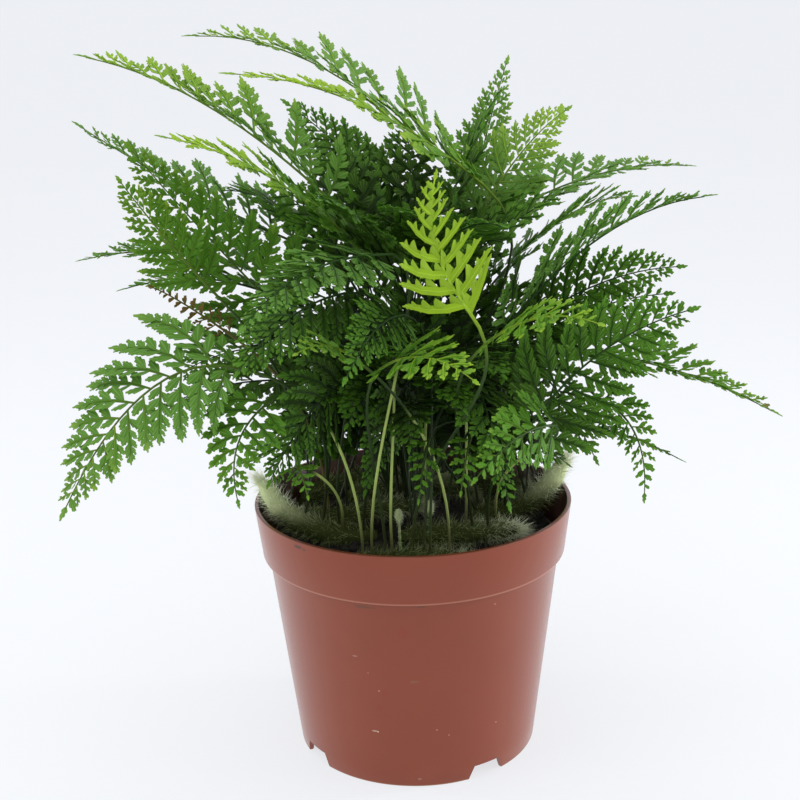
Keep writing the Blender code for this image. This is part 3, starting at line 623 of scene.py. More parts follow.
def leafMaterial():
    material, graph, shader = newMaterial("frondTissue", 0.42, Specular_IOR_Level=0.12)
    youth, along, under = carried(graph, "growth")
    x, y, tint = carried(graph, "local")
    # haze marks painted paleness and sheen, dry marks real withering, and depth sets the painted shade deep
    # in the clump
    haze, dry, depth = carried(graph, "witherAndPaintedLight")
    mottle = speckle(graph, objectPlace(graph), 260)
    # veins that fan out from the foot of each pinnule, one to each lobe
    fan = graph.maths("ARCTAN2", y, x + 0.12)
    veins = (graph.maths("COSINE", fan * 27) * 0.5 + 0.5) ** 6
    # painted shade: full-grown leaves turn near black deep in the clump
    matureInPaintedShade = mixed(steps(depth, 0.0, 0.6), tone(35, 67, 8), tone(5, 16, 2))
    grown = mixed(steps(youth, 0.05, 0.5) * (1 - depth * 0.6), matureInPaintedShade, tone(76, 130, 24))
    green = mixed(steps(youth, 0.55, 1.0), grown, tone(156, 193, 40))
    sunlit = (x * 0.35 + mottle * 0.3 + tint * 0.35 - 0.2).clamp() * (0.5 - depth * 0.45)
    lit = mixed(sunlit, green, mixed(steps(youth, 0.4, 0.9), tone(100, 150, 26), tone(178, 208, 72)))
    # painted sheen: pale streaks along the veins, stronger on hazy fronds and weaker in the painted shade
    # deep in the clump
    veined = mixed(veins * (0.36 + haze * 0.4 - depth * 0.3).clamp(), lit, tone(164, 188, 122))
    # painted light: hazy fronds are painted paler
    pale = mixed(haze * (0.6 - depth * 0.4), veined, tone(116, 156, 84))
    below = mixed(under * (0.3 - depth * 0.25), pale, tone(80, 124, 36))
    withered = mixed(dry, below, mixed(mottle, tone(66, 54, 22), tone(132, 112, 52)))
    feed(shader, "Base Color", withered)
    feed(shader, "Roughness", mottle * 0.2 + 0.36 + under * 0.2)
    feed(shader, "Normal", bumped(veins * 0.5 + mottle * 0.6, 0.12 * mm, 0.6))
    # some light comes through the thin green tissue
    glow = graph.node("ShaderNodeBsdfTranslucent", None, {"Color": tone(112, 178, 30)})
    share = (0.26 - depth * 0.2 - dry * 0.26).clamp()
    blend = graph.node("ShaderNodeMixShader", None, {0: share, 2: glow})
    graph.tree.links.new(shader.outputs[0], blend.socket.node.inputs[1])
    output = graph.tree.nodes["Material Output"]
    graph.tree.links.new(blend.socket, output.inputs["Surface"])
    return material


def ribMaterial():
    material, graph, shader = newMaterial("frondRib", 0.5, Specular_IOR_Level=0.16)
    youth, along, under = carried(graph, "growth")
    haze, dry, depth = carried(graph, "witherAndPaintedLight")
    mottle = speckle(graph, objectPlace(graph), 420)
    palest, across, tint = carried(graph, "local")
    rib = mixed(steps(youth, 0.2, 0.9), tone(32, 62, 14), tone(160, 196, 52))
    palest *= steps(along, -0.36, -0.5)
    stalk = mixed(palest, tone(58, 84, 34), tone(158, 178, 96))
    foot = mixed(mottle, tone(92, 96, 52), tone(52, 48, 26))
    low = mixed(steps(along, -1.0, -0.7), foot, stalk)
    whole = mixed(steps(along, -0.25, 0.12), low, rib)
    # painted shade: deep in the clump all but the pale stalks and the youngest ribs are painted dark, as
    # they lie in the dark
    bright = steps(along, 0.0, 0.3) * steps(youth, 0.5, 0.9)
    dim = steps(depth, 0.15, 0.75) * (0.84 - palest * 0.74) * (1 - bright)
    whole = mixed(dim, whole, tone(18, 31, 8))
    feed(shader, "Base Color", mixed(dry, whole, tone(98, 92, 44)))
    feed(shader, "Normal", bumped(mottle, 0.15 * mm, 0.5))
    return material


def markLayers(bm):
    return [bm.verts.layers.float_vector.new(name) for name in ("growth", "local", "witherAndPaintedLight")]


def markPoint(vert, marks, growth, local, look):
    for layer, values in zip(marks, (growth, local, (look["haze"], look["dry"], 0))):
        vert[layer] = values


def addPinnule(bm, marks, place, outline, length, width, youth, along, look, rng):
    # a thin lobed blade in two halves that meet on its middle vein
    tint = rng.random()
    corners = []
    for x, y in ((0, 0), (0.55, 0), (1, 0), *outline[0], *outline[1]):
        vert = bm.verts.new(place @ Vector((x * length, y * width, -look["cup"] * abs(y) * width)))
        markPoint(vert, marks, (youth + 0.1 * x, along, 1), (x, y * width / length, tint), look)
        corners.append(vert)
    foot, middle, end = corners[:3]
    ahead = corners[3:3 + len(outline[0])]
    behind = corners[3 + len(outline[0]):]
    bm.faces.new((foot, middle, end, *reversed(ahead)))
    bm.faces.new((foot, *behind, end, middle))


def addStrip(bm, marks, points, widths, slot, youth, along, look):
    # a narrow strip along the points: a pinna's rib, or the leaf tissue that runs beside it
    rails = []
    for index, (point, width) in enumerate(zip(points, widths)):
        ahead = (points[min(index + 1, len(points) - 1)] - points[max(index - 1, 0)]).normalized()
        across = Vector((-ahead.y, ahead.x, 0)) * (width / 2)
        pair = [bm.verts.new(point + across), bm.verts.new(point - across)]
        for vert in pair:
            markPoint(vert, marks, (youth, along, 1 - slot), betweenVeins, look)
        rails.append(pair)
    for near, far in zip(rails, rails[1:]):
        face = bm.faces.new((near[1], far[1], far[0], near[0]))
        face.material_index = slot


def addPinna(bm, marks, place, side, length, reach, youth, along, look, rng):
    # a side branch of the blade: its own rib, with narrow pinnules that stand alternately on both sides
    saw = look["saw"]
    turn = pinnaShape["sawAngle"] if saw else frondLook["pinnuleAngle"]
    longest = min(reach / math.sin(turn), pinnaShape["longestShare"] * length, frondLook["longestPinnule"])
    if length < frondLook["onePinnule"]:
        outline = smallPinnule if length < 0.6 * frondLook["onePinnule"] else plainPinnule
        width = 0.5 * length
        if look["blunt"]:
            outline, width = lobedTip, 0.8 * length
        addPinnule(bm, marks, place, outline, length, width, youth, along, look, rng)
        return
    bend = -pinnaShape["curve"] * side / length
    sag = look["sag"] / length

    def onRib(s, over=0):
        return Vector((s, bend * s * s, -sag * s * s + over))

    line = [place @ onRib(share * length) for share in pinnaShape["stations"]]
    ribs = [frondLook["ribWidth"] * part for part in pinnaShape["ribTaper"]]
    addStrip(bm, marks, line, ribs, 1, youth, along, look)
    wing = frondLook["wing"] * min(2, length / (9 * mm)) * min(1.6, look["coarse"])
    wings = [wing * part for part in pinnaShape["sawWingTaper" if saw else "wingTaper"]]
    addStrip(bm, marks, line, wings, 0, youth, along, look)
    hand = -side
    s = (pinnaShape["firstPinnule"] if length > 10 * mm else 0.16) * length
    while s < pinnaShape["lastPinnule"] * length:
        t = s / length
        size = longest * (0.78 + 0.22 * min(1, t / 0.16)) * (1 - 0.78 * t ** 1.5) * rng.uniform(0.9, 1.08)
        heading = 2 * bend * s + hand * turn * (1.1 - 0.3 * t) + rng.uniform(-0.06, 0.06)
        roll = hand * rng.uniform(0.02, look["roll"]) + rng.uniform(-0.12, 0.12)
        lift = rng.uniform(-0.18, 0.12)
        if look["dry"]:
            roll += rng.uniform(-1, 1)
            lift += rng.uniform(-0.7, 0.7)
        spot = onRib(s, rng.uniform(-0.1, 0.1) * mm)
        seat = (
            place @ Matrix.Translation(spot) @ Matrix.Rotation(heading, 4, "Z")
            @ Matrix.Rotation(-lift, 4, "Y") @ Matrix.Rotation(roll, 4, "X")
        )
        outline = plainPinnule if size > pinnaShape["plainFrom"] else smallPinnule
        if size > pinnaShape["broadFrom"]:
            outline = broadPinnule
        width = size * frondLook["pinnuleShape"] * look["coarse"] * rng.uniform(0.92, 1.1) + 0.15 * mm
        stride = frondLook["pinnuleStep"] * size * look["coarse"] * (1.12 - 0.3 * t)
        if saw:
            outline = sawPinnule
            stride = 0.66 * size
            size *= rng.uniform(0.35, 0.6) if hand == side else rng.uniform(1.3, 1.7)
            width = 0.74 * size
        if hand < 0:
            outline = [[(x, -y) for x, y in outline[1]], [(x, -y) for x, y in outline[0]]]
        addPinnule(bm, marks, seat, outline, size, width, youth + 0.2 * t * t, along, look, rng)
        s += max(frondLook["leastStride"], stride) * (1.1 if hand == side else 0.9)
        hand = -hand
    s = pinnaShape["tipPinnule"] * length
    seat = place @ Matrix.Translation(onRib(s)) @ Matrix.Rotation(2 * bend * s, 4, "Z")
    size = 0.2 * length + 0.5 * mm
    width = max(0.4 * size, 0.26 * longest)
    outline = lobedTip if size > 3 * mm else plainPinnule
    addPinnule(bm, marks, seat, outline, size, width, youth + 0.2, along, look, rng)


def flatFrond(spine, longest, pairs, look, rng):
    # the whole frond laid flat: X along its rib from the crown, Y beside it
    bm = bmesh.new()
    marks = markLayers(bm)
    foot = -spine.stalkLength - frondLook["sunk"]
    rings = look["rings"]
    line = [foot * (1 - step / rings) for step in range(rings)]
    line += [spine.bladeLength * step / rings for step in range(rings + 1)]
    radii = []
    for x in line:
        wide, end, share = frondLook["stalkRadius"], frondLook["crownRadius"], 1 - x / foot
        if x > 0:
            wide, end, share = end, frondLook["tipRadius"], (x / spine.bladeLength) ** 0.8
        radii.append((wide + (end - wide) * share) * look["stout"])
    tubeBody(bm, [Vector((x, 0, 0)) for x in line], radii, frondLook["stalkSides"])
    for face in bm.faces:
        face.material_index = 1
    for vert in bm.verts:
        x = vert.co.x
        along = x / (spine.stalkLength if x < 0 else spine.bladeLength)
        markPoint(vert, marks, (look["youth"], along, 0), (look["paleStalk"], 0, 0), look)
    stalkFaces = set(bm.faces)
    for side in (-1, 1):
        shares = []
        for step in range(pairs + 1):
            start = (step + (0.5 if side > 0 else 0.05)) / (pairs + 0.9)
            shares.append(1 - (1 - start) ** frondLook["crowding"])
        for share, following in zip(shares, shares[1:]):
            angle = solidBlade["rootAngle"] + (solidBlade["tipAngle"] - solidBlade["rootAngle"]) * share
            angle += rng.uniform(-0.1, 0.1)
            length = pinnaLength(share, longest) * rng.uniform(0.93, 1.04)
            length = max(length, look["blunt"] * (1 - 0.3 * share))
            reach = (following - share) * spine.bladeLength * math.sin(angle) * frondLook["reach"]
            place = (
                Matrix.Translation((share * spine.bladeLength, 0, 0)) @ Matrix.Rotation(side * angle, 4, "Z")
                @ Matrix.Rotation(-rng.uniform(-0.15, 0.15), 4, "Y")
                @ Matrix.Rotation(-side * rng.uniform(0, look["roll"]), 4, "X")
            )
            youth = look["youth"] + look["tender"] * share ** 1.5 + rng.uniform(-0.06, 0.06)
            part = look
            if share > look["dryFrom"]:
                part = {**look, "dry": 0.85}
            addPinna(bm, marks, place, side, length, reach, youth, share, part, rng)
    end = Matrix.Translation((0.985 * spine.bladeLength, 0, 0))
    size = 0.05 * spine.bladeLength + 1.5 * mm
    addPinnule(bm, marks, end, lobedTip, size, 0.42 * size, look["youth"] + 0.25, 1, look, rng)
    sheets = [[], []]
    for face in bm.faces:
        if face not in stalkFaces:
            sheets[face.material_index].append(face)
    for sheet, depth in zip(sheets, (frondLook["thickness"], frondLook["ribThickness"])):
        copied = bmesh.ops.extrude_face_region(bm, geom=sheet, use_keep_orig=True)
        raised = [part for part in copied["geom"] if isinstance(part, bmesh.types.BMVert)]
        for vert in raised:
            youth, along, under = vert[marks[0]]
            vert[marks[0]] = (youth, along, 0)
        bmesh.ops.translate(bm, verts=raised, vec=up * depth)
    bmesh.ops.recalc_face_normals(bm, faces=bm.faces[:])
    return bm


# the centre of the painted shade in the clump, and how far the painted shade reaches
clumpHeart = np.array([0.0, 0.015, 0.13])
clumpReach = np.array([0.09, 0.085, 0.09])


def bendAlong(mesh, spine, fold):
    # bends the flat frond along its spine and marks how deep inside the clump each point lies, for the
    # painted shade there
    count = len(mesh.vertices)
    flat = np.empty(count * 3)
    mesh.vertices.foreach_get("co", flat)
    x, y, z = flat.reshape(count, 3).T
    places = np.array(spine.places)
    held = np.clip(x, places[0], places[-1])
    lines = []
    for line in (spine.points, spine.normals, spine.tangents):
        columns = [np.interp(held, places, [part[axis] for part in line]) for axis in range(3)]
        lines.append(np.stack(columns, 1))
    point, normal, tangent = lines
    normal /= np.linalg.norm(normal, axis=1, keepdims=True)
    tangent /= np.linalg.norm(tangent, axis=1, keepdims=True)
    rise = np.abs(y) * math.sin(fold) - solidBlade["droop"] * y * y + z
    bent = point + tangent * (x - held)[:, None] + np.cross(normal, tangent) * (y * math.cos(fold))[:, None]
    bent += normal * rise[:, None]
    mesh.vertices.foreach_set("co", bent.ravel())
    witherAndPaintedLight = np.empty(count * 3)
    mesh.attributes["witherAndPaintedLight"].data.foreach_get("vector", witherAndPaintedLight)
    witherAndPaintedLight = witherAndPaintedLight.reshape(count, 3)
    away = np.linalg.norm((bent - clumpHeart) / clumpReach, axis=1)
    witherAndPaintedLight[:, 2] = np.clip(1.3 - away, 0, 1)
    mesh.attributes["witherAndPaintedLight"].data.foreach_set("vector", witherAndPaintedLight.ravel())
    mesh.update()


def frondRows():
    rows = [("dry_frond_01", dryFrond, "dry")]
    for index, row in enumerate([*leadingFronds, *fillingRows()]):
        rows.append((f"frond_{index + 1:02d}", row, "leading" if index < len(leadingFronds) else "filling"))
    return rows


# What a frond has where frondLook says nothing else
plainLook = {
    "youth": 0.12, "haze": 0, "dry": 0.0, "dryFrom": 2, "cup": 0.22, "sag": 0.1, "roll": 0.42, "coarse": 1.0,
    "saw": False, "tender": 0.2, "blunt": 0, "rings": 16, "stout": 1.0, "paleStalk": 0,
}


def makeFronds(leaf, rib):
    for index, (node, row, kind) in enumerate(frondRows()):
        leading = kind == "leading"
        large = leading and row[6] > solidBlade["smallFrond"]
        pairs = solidBlade["leadingPairs" if large else "fillingPairs"]
        freedom = placing["fillingFreedom" if kind == "filling" else "leadingFreedom"]
        spine, fold, longest = frondAsBuilt(node, row, index, pairs, freedom)
        tender = index in frondLook["tender"]
        look = {
            **plainLook,
            "youth": frondLook["youth"].get(index, plainLook["youth"]),
            "haze": frondLook["haze"].get(index, 0),
            "dryFrom": frondLook["dryTips"].get(index, 2),
            "coarse": frondLook["coarse"].get(index, 1.0),
            "saw": index in frondLook["saw"],
            "tender": 0.55 if tender else plainLook["tender"],
            "blunt": frondLook["bluntTip"] if tender else 0,
            "stout": frondLook["stout"].get(index, 1.0),
            "paleStalk": int(index in frondLook["paleStalks"]),
        }
        pairs = frondLook["pairs"].get(index, frondLook["leadingPairs" if leading else "fillingPairs"])
        if kind == "dry":
            look.update(dry=1.0, cup=0.9)
        bm = flatFrond(spine, longest, pairs, look, random.Random(40 + index))
        piece = newPiece(node.replace("_", "") + "Fine", bm, [leaf, rib])
        bendAlong(piece.data, spine, fold)
        slot = next(part["material_slot"] for part in frame["record"]["subparts"] if part["node"] == node)
        settle(piece, slot, node)
    print("fronds made:", index + 1)


# Small fronds in the heart of the clump, with the same columns as the other tiers
innerTiers = (
    (-25, 205, 9, 22, 122, 58, 118, 21),
    (200, 340, 5, 12, 138, 48, 142, 22),
    (0, 360, 11, 20, 158, 62, 164, 24),
    (0, 360, 9, 14, 184, 54, 208, 24),
    (30, 150, 4, 26, 200, 60, 236, 24),
)
innerShake = (9, 6, 7, 6, 9)

# Upright ones that close the view through the clump: how many, half the breadth of the row at the crowns and
# at the tips, depth and height of the crowns and of the tips, and length of the longest pinna, in mm
screenTiers = (
    (8, 30, 66, 16, 112, 24, 196, 24),
    (6, 34, 62, 36, 98, 50, 158, 24),
    (5, 14, 34, -2, 134, 8, 212, 22),
)


def innerRows(rng):
    # crown, tip and direction of the upper face of each small frond, and its longest pinna
    rows = []
    for heading, crown, tip, longest in aroundPot(rng, innerTiers, innerShake):
        tip += Vector((-heading.y, heading.x, 0)) * rng.uniform(-12, 12)
        rows.append((crown, tip, heading * 0.45 + up + 0.3 * randomVector(rng), longest))
    for count, low, high, crownDepth, crownHeight, tipDepth, tipHeight, longest in screenTiers:
        for index in range(count):
            share = 2 * (index + 0.5) / count - 1
            crown = Vector((share * low, crownDepth, crownHeight)) + randomVector(rng) * 5
            tip = Vector((share * high, tipDepth, tipHeight - 26 * share * share)) + randomVector(rng) * 8
            rows.append((crown, tip, Vector((0.3 * share, -1, 0.3)) + 0.3 * randomVector(rng), longest))
    return rows


def makeInnerFronds(leaf, rib):
    rng = random.Random(21)
    for index, (crown, tip, face, longest) in enumerate(innerRows(rng)):
        rhizome, place = nearestSeat(crown * mm)
        seat, out = seatOnRhizome(rhizome, place, rng.choice((-1, 0, 1)))
        bow = up * (rng.uniform(4, 9) * mm)
        spine = Spine(seat, out, crown * mm, tip * mm, face, bow, randomVector(rng) * 5 * mm)
        look = {**plainLook, "youth": rng.uniform(0, 0.2), "coarse": 1.95, "rings": 8, "stout": 0.75}
        bm = flatFrond(spine, longest * mm, frondLook["innerPairs"], look, rng)
        piece = newPiece(f"innerFrond{index + 1:02d}", bm, [leaf, rib])
        bendAlong(piece.data, spine, math.radians(rng.uniform(0, 12)))
        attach(piece, "root")
    print("inner fronds made:", index + 1)


leafTissue = leafMaterial()
ribTissue = ribMaterial()
makeFronds(leafTissue, ribTissue)
makeInnerFronds(leafTissue, ribTissue)


# The photo's camera
cameraLook = {
    "place": Vector((0, -0.5, 0.2844)),
    "pitch": math.radians(16.61),
    "yaw": math.radians(-0.45),
    "roll": math.radians(-1.41),
    "lens": 62.96,
    "sensor": 36,
    "frame": 800,
    "nearest": 0.01,
}


def cameraAxes():
    # to the right, upwards and ahead as the camera stands
    pitch, yaw, roll = cameraLook["pitch"], cameraLook["yaw"], cameraLook["roll"]
    ahead = Vector((math.sin(yaw) * math.cos(pitch), math.cos(yaw) * math.cos(pitch), -math.sin(pitch)))
    level = Vector((math.cos(yaw), -math.sin(yaw), 0))
    steep = level.cross(ahead)
    right = level * math.cos(roll) + steep * math.sin(roll)
    over = steep * math.cos(roll) - level * math.sin(roll)
    return right, over, ahead


# Pot
potLook = {
    "height": 97.3 * mm,
    "rim": 60 * mm,
    "band": 19.4 * mm,
    "bandFoot": 57.6 * mm,
    "bodyTop": 55.4 * mm,
    "foot": 46 * mm,
    "wall": 1.6 * mm,
    "floor": 6.2 * mm,
    "notchHeight": 5.4 * mm,
    "notchArc": math.radians(22),
    "notchLean": math.radians(4),
    "notchBearing": math.radians(33.5),
    "drainRadius": 4.5 * mm,
    "drainCircle": 28 * mm,
    "drains": 6,
    "notches": 4,
    "cutterReach": 6 * mm,
    "cutterDrop": 3 * mm,
    "drainDepth": 12 * mm,
    "steps": 144,
    "edge": 0.5 * mm,
    "sharpFrom": math.radians(35),
}


def roundedProfile(corners, radius, segments=3):
    # the outline with each inner corner rounded by an arc
    points = [Vector(corners[0])]
    for before, corner, after in zip(corners, corners[1:], corners[2:]):
        corner = Vector(corner)
        inwards = (Vector(before) - corner).normalized()
        outwards = (Vector(after) - corner).normalized()
        cut = min(radius, 0.45 * (Vector(before) - corner).length, 0.45 * (Vector(after) - corner).length)
        start = corner + inwards * cut
        end = corner + outwards * cut
        for step in range(segments + 1):
            t = step / segments
            points.append(start * (1 - t) ** 2 + corner * (2 * t * (1 - t)) + end * t ** 2)
    points.append(Vector(corners[-1]))
    return points


# Marks on the front of the pot: the photo's column and row, half the width and height in mm, strength, tone
potMarks = (
    ((298, 547), (1.9, 0.8), 0.85, tone(58, 36, 24)),
    ((304, 550), (0.9, 0.6), 0.7, tone(70, 42, 28)),
    ((363, 607), (4.4, 0.7), 0.5, tone(74, 52, 28)),
    ((421, 607), (2.0, 0.4), 0.5, tone(74, 52, 28)),
    ((355, 656), (1.1, 0.4), 0.4, tone(186, 148, 140)),
    ((368, 673), (0.5, 0.3), 0.4, tone(186, 148, 140)),
    ((414, 682), (2.2, 0.6), 0.35, tone(120, 92, 70)),
    ((375, 731), (1.6, 0.4), 0.6, tone(196, 166, 150)),
    ((378, 732), (0.45, 0.4), 0.8, tone(216, 194, 160)),
    ((379, 691), (0.45, 0.4), 0.6, tone(200, 160, 120)),
    ((437, 730), (0.4, 0.35), 0.5, tone(204, 160, 116)),
    ((449, 735), (0.35, 0.35), 0.5, tone(204, 160, 116)),
    ((495, 604), (0.5, 0.4), 0.4, tone(190, 146, 120)),
    ((496, 722), (0.4, 0.4), 0.5, tone(200, 154, 124)),
    ((403, 633), (2.2, 3.4), 0.35, tone(132, 40, 20)),
    ((385, 694), (1.8, 1.6), 0.4, tone(134, 40, 22)),
    ((379, 708), (1.6, 1.4), 0.35, tone(134, 40, 22)),
    ((466, 690), (0.9, 0.9), 0.35, tone(134, 40, 22)),
    ((420, 779), (0.9, 0.5), 0.4, tone(168, 134, 124)),
)


def spotOnPot(column, row):
    # where the photo's camera sees this pixel on the front of the pot
    right, over, ahead = cameraAxes()
    middle = cameraLook["frame"] / 2
    ray = ahead * (cameraLook["lens"] / cameraLook["sensor"] * cameraLook["frame"])
    ray += right * (column - middle) + over * (middle - row)
    bandFoot = potLook["height"] - potLook["band"]
    near = -potLook["foot"]
    # each round puts the point nearer to the wall, which it soon meets
    for step in range(30):
        spot = cameraLook["place"] + ray * ((near - cameraLook["place"].y) / ray.y)
        if spot.z < bandFoot:
            radius = potLook["foot"] + (potLook["bodyTop"] - potLook["foot"]) * spot.z / bandFoot
        else:
            flare = potLook["rim"] - potLook["bandFoot"]
            radius = potLook["bandFoot"] + flare * (spot.z - bandFoot) / potLook["band"]
        near = -math.sqrt(max(radius ** 2 - spot.x ** 2, (1 * mm) ** 2))
    return spot


def potMaterials():
    materials = []
    outside = (tone(133, 57, 26), tone(120, 48, 21))
    # the inside is darker: partly soil dust, partly painted shade inside the pot
    inside = (tone(84, 52, 40), tone(52, 32, 24))
    for name, (top, bottom) in (("potPlastic", outside), ("potInside", inside)):
        fixed = {"Specular_IOR_Level": 0.2, "Coat_Weight": 0.62, "Coat_Roughness": 0.16}
        material, graph, shader = newMaterial(name, 0.42, **fixed)
        place = objectPlace(graph)
        x, y, z = place.split()
        cloudy = speckle(graph, place, 34, 4)
        grain = speckle(graph, place, 1400, 2)
        ragged = speckle(graph, place, 520, 3, 0.6)
        colour = mixed((cloudy * 0.8 + grain * 0.2).clamp(), bottom, top)
        # the band's lower edge and the foot's edge catch the light
        bandEdge = potLook["height"] - potLook["band"] + 0.5 * mm
        edges = ((bandEdge, 0.4, tone(196, 134, 110)), (0.3 * mm, 0.5, tone(150, 104, 58)))
        for height, strength, shade in edges:
            edge = steps(graph.maths("ABSOLUTE", z - height), 0.5 * mm, 0.1 * mm)
            colour = mixed(edge * strength, colour, shade)
        # the rim's top is darker brown: partly soil dust, partly painted shade
        rimTop = steps(z, potLook["height"] - 0.5 * mm, potLook["height"] - 0.2 * mm)
        colour = mixed(rimTop * 0.75, colour, tone(100, 52, 30))
        # whitish scuffs and dry water marks, scattered and short
        stretched = place.node("ShaderNodeMapping", None, {"Vector": place, "Scale": (1, 1, 2.2)})
        scuff = steps(speckle(graph, stretched, 190, 5, 0.7), 0.72, 0.78)
        worn = steps(speckle(graph, place, 26, 2), 0.52, 0.7)
        colour = mixed(scuff * worn * 0.35, colour, tone(186, 148, 130))
        if name == "potPlastic":
            front = steps(y, -20 * mm, -30 * mm)
            for pixel, (halfWidth, halfHeight), strength, shade in potMarks:
                spot = spotOnPot(*pixel)
                sideways = (x - spot.x) / (halfWidth * mm)
                upright = (z - spot.z) / (halfHeight * mm)
                mask = steps(sideways * sideways + upright * upright + ragged * 1.6, 1.7, 1.1)
                colour = mixed(mask * front * strength, colour, shade)
        dust = steps(z, 12 * mm, 0.0) * steps(cloudy, 0.45, 0.75) * 0.2
        feed(shader, "Base Color", mixed(dust, colour, tone(150, 92, 70)))
        feed(shader, "Roughness", grain * 0.12 + cloudy * 0.1 + scuff * 0.25 + 0.28)
        feed(shader, "Normal", bumped(grain * 0.5 + cloudy * 3, 0.05 * mm, 0.35))
        materials.append(material)
    return materials


def makePot():
    size = potLook
    bandFoot = size["height"] - size["band"]
    stepTop = bandFoot + size["wall"]
    innerFoot = size["foot"] - size["wall"]
    wallRing = size["notchHeight"] + 2 * mm
    lean = (size["bodyTop"] - size["foot"]) / bandFoot
    floorTop = size["floor"] + size["wall"]
    corners = (
        (0, size["floor"]), (innerFoot, size["floor"]), (innerFoot, 0), (size["foot"], 0),
        (size["foot"] + lean * wallRing, wallRing), (size["bodyTop"], bandFoot),
        (size["bandFoot"], bandFoot), (size["rim"], size["height"]),
        (size["rim"] - size["wall"], size["height"]), (size["bandFoot"] - size["wall"], stepTop),
        (size["bodyTop"] - size["wall"], stepTop), (innerFoot, floorTop), (0, floorTop),
    )
    bm = lathe(roundedProfile(corners, size["edge"]), size["steps"])
    bmesh.ops.recalc_face_normals(bm, faces=bm.faces[:])
    for face in bm.faces:
        middle = face.calc_center_median()
        outward = Vector((middle.x, middle.y, 0)).normalized()
        face.material_index = 1 if face.normal.dot(outward) < -0.2 and middle.z > size["floor"] else 0
    pot = newPiece("nurseryPot", bm, potMaterials(), size["sharpFrom"])
    cutters = []
    for index in range(size["notches"]):
        bm = bmesh.new()
        bmesh.ops.create_cube(bm, size=1.0)
        for vert in bm.verts:
            radius = size["foot"] + math.copysign(size["cutterReach"], vert.co.x)
            height = size["notchHeight"] if vert.co.z > 0 else -size["cutterDrop"]
            half = size["notchArc"] / 2 - (size["notchLean"] if vert.co.z > 0 else 0)
            middle = size["notchBearing"] + index * math.tau / size["notches"]
            angle = middle + math.copysign(half, vert.co.y)
            vert.co = (radius * math.cos(angle), radius * math.sin(angle), height)
        bmesh.ops.recalc_face_normals(bm, faces=bm.faces[:])
        if bm.calc_volume(signed=True) < 0:
            bmesh.ops.reverse_faces(bm, faces=bm.faces[:])
        cutters.append(newPiece("notchCutter", bm, []))
    for index in range(size["drains"]):
        angle = index * math.tau / size["drains"]
        out, radius = size["drainCircle"], size["drainRadius"]
        place = Matrix.Translation((out * math.cos(angle), out * math.sin(angle), size["floor"]))
        bm = bmesh.new()
        bmesh.ops.create_cone(
            bm, cap_ends=True, segments=32, radius1=radius, radius2=radius, depth=size["drainDepth"],
            matrix=place,
        )
        cutters.append(newPiece("drainCutter", bm, []))
    group = bpy.data.collections.new("potCutters")
    bpy.context.scene.collection.children.link(group)
    for cutter in cutters:
        bpy.context.scene.collection.objects.unlink(cutter)
        group.objects.link(cutter)
    cut = pot.modifiers.new("cut", "BOOLEAN")
    cut.operand_type = "COLLECTION"
    cut.collection = group
    cut.solver = "EXACT"
    finished = bpy.data.meshes.new_from_object(pot.evaluated_get(bpy.context.evaluated_depsgraph_get()))
    pot.modifiers.clear()
    finished.set_sharp_from_angle(angle=size["sharpFrom"])
    pot.data = finished
    for cutter in cutters:
        bpy.data.objects.remove(cutter)
    bpy.data.collections.remove(group)
    settle(pot, "pot", "pot")
    print("pot made")


makePot()


# Soil
soilLook = {
    "level": 84 * mm,
    "bump": 1.6 * mm,
    "lump": 1.1 * mm,
    "radius": 53.2 * mm,
    "bottomRadius": 44 * mm,
    "edgeDrop": 1.5 * mm,
    "bottom": 8.1 * mm,
    "rings": 30,
    "steps": 96,
    "crumbs": 1300,
    # in mm, as are the lengths of the fibres
    "crumbRadius": 0.45,
    "crumbSpread": 1.5,
    "fibres": 260,
    "fibreLength": (3, 9),
    "fibreRadii": (0.22 * mm, 0.1 * mm),
    "fibreLift": 0.8 * mm,
}


def soilHeight(x, y):
    waves = math.sin(x / 0.0071 + 1.3) * math.cos(y / 0.0088) + 0.6 * math.sin((x - y) / 0.0123 + 0.4)
    lumps = noise.fractal(Vector((x, y, 0)) * 160, 0.9, 2.2, 4)
    return soilLook["level"] + soilLook["bump"] * waves / 1.6 + soilLook["lump"] * lumps


def soilSpot(rng, margin):
    # a point of the soil's surface, away from the wall by the margin
    angle = rng.uniform(0, math.tau)
    radius = (soilLook["radius"] - margin) * math.sqrt(rng.random())
    x, y = radius * math.cos(angle), radius * math.sin(angle)
    return Vector((x, y, soilHeight(x, y)))


def soilMaterial():
    material, graph, shader = newMaterial("pottingSoil", 0.92)
    place = objectPlace(graph)
    coarse = speckle(graph, place, 240, 5, 0.7)
    fine = speckle(graph, place, 1500, 3, 0.6)
    dark = mixed(steps(coarse, 0.35, 0.7), tone(12, 10, 7), tone(40, 32, 22))
    moss = mixed(steps(speckle(graph, place, 70, 3), 0.55, 0.7) * 0.4, dark, tone(40, 44, 22))
    feed(shader, "Base Color", mixed(steps(fine, 0.64, 0.76) * 0.35, moss, tone(84, 70, 50)))
    feed(shader, "Normal", bumped(fine + coarse, 0.5 * mm, 0.9))
    return material


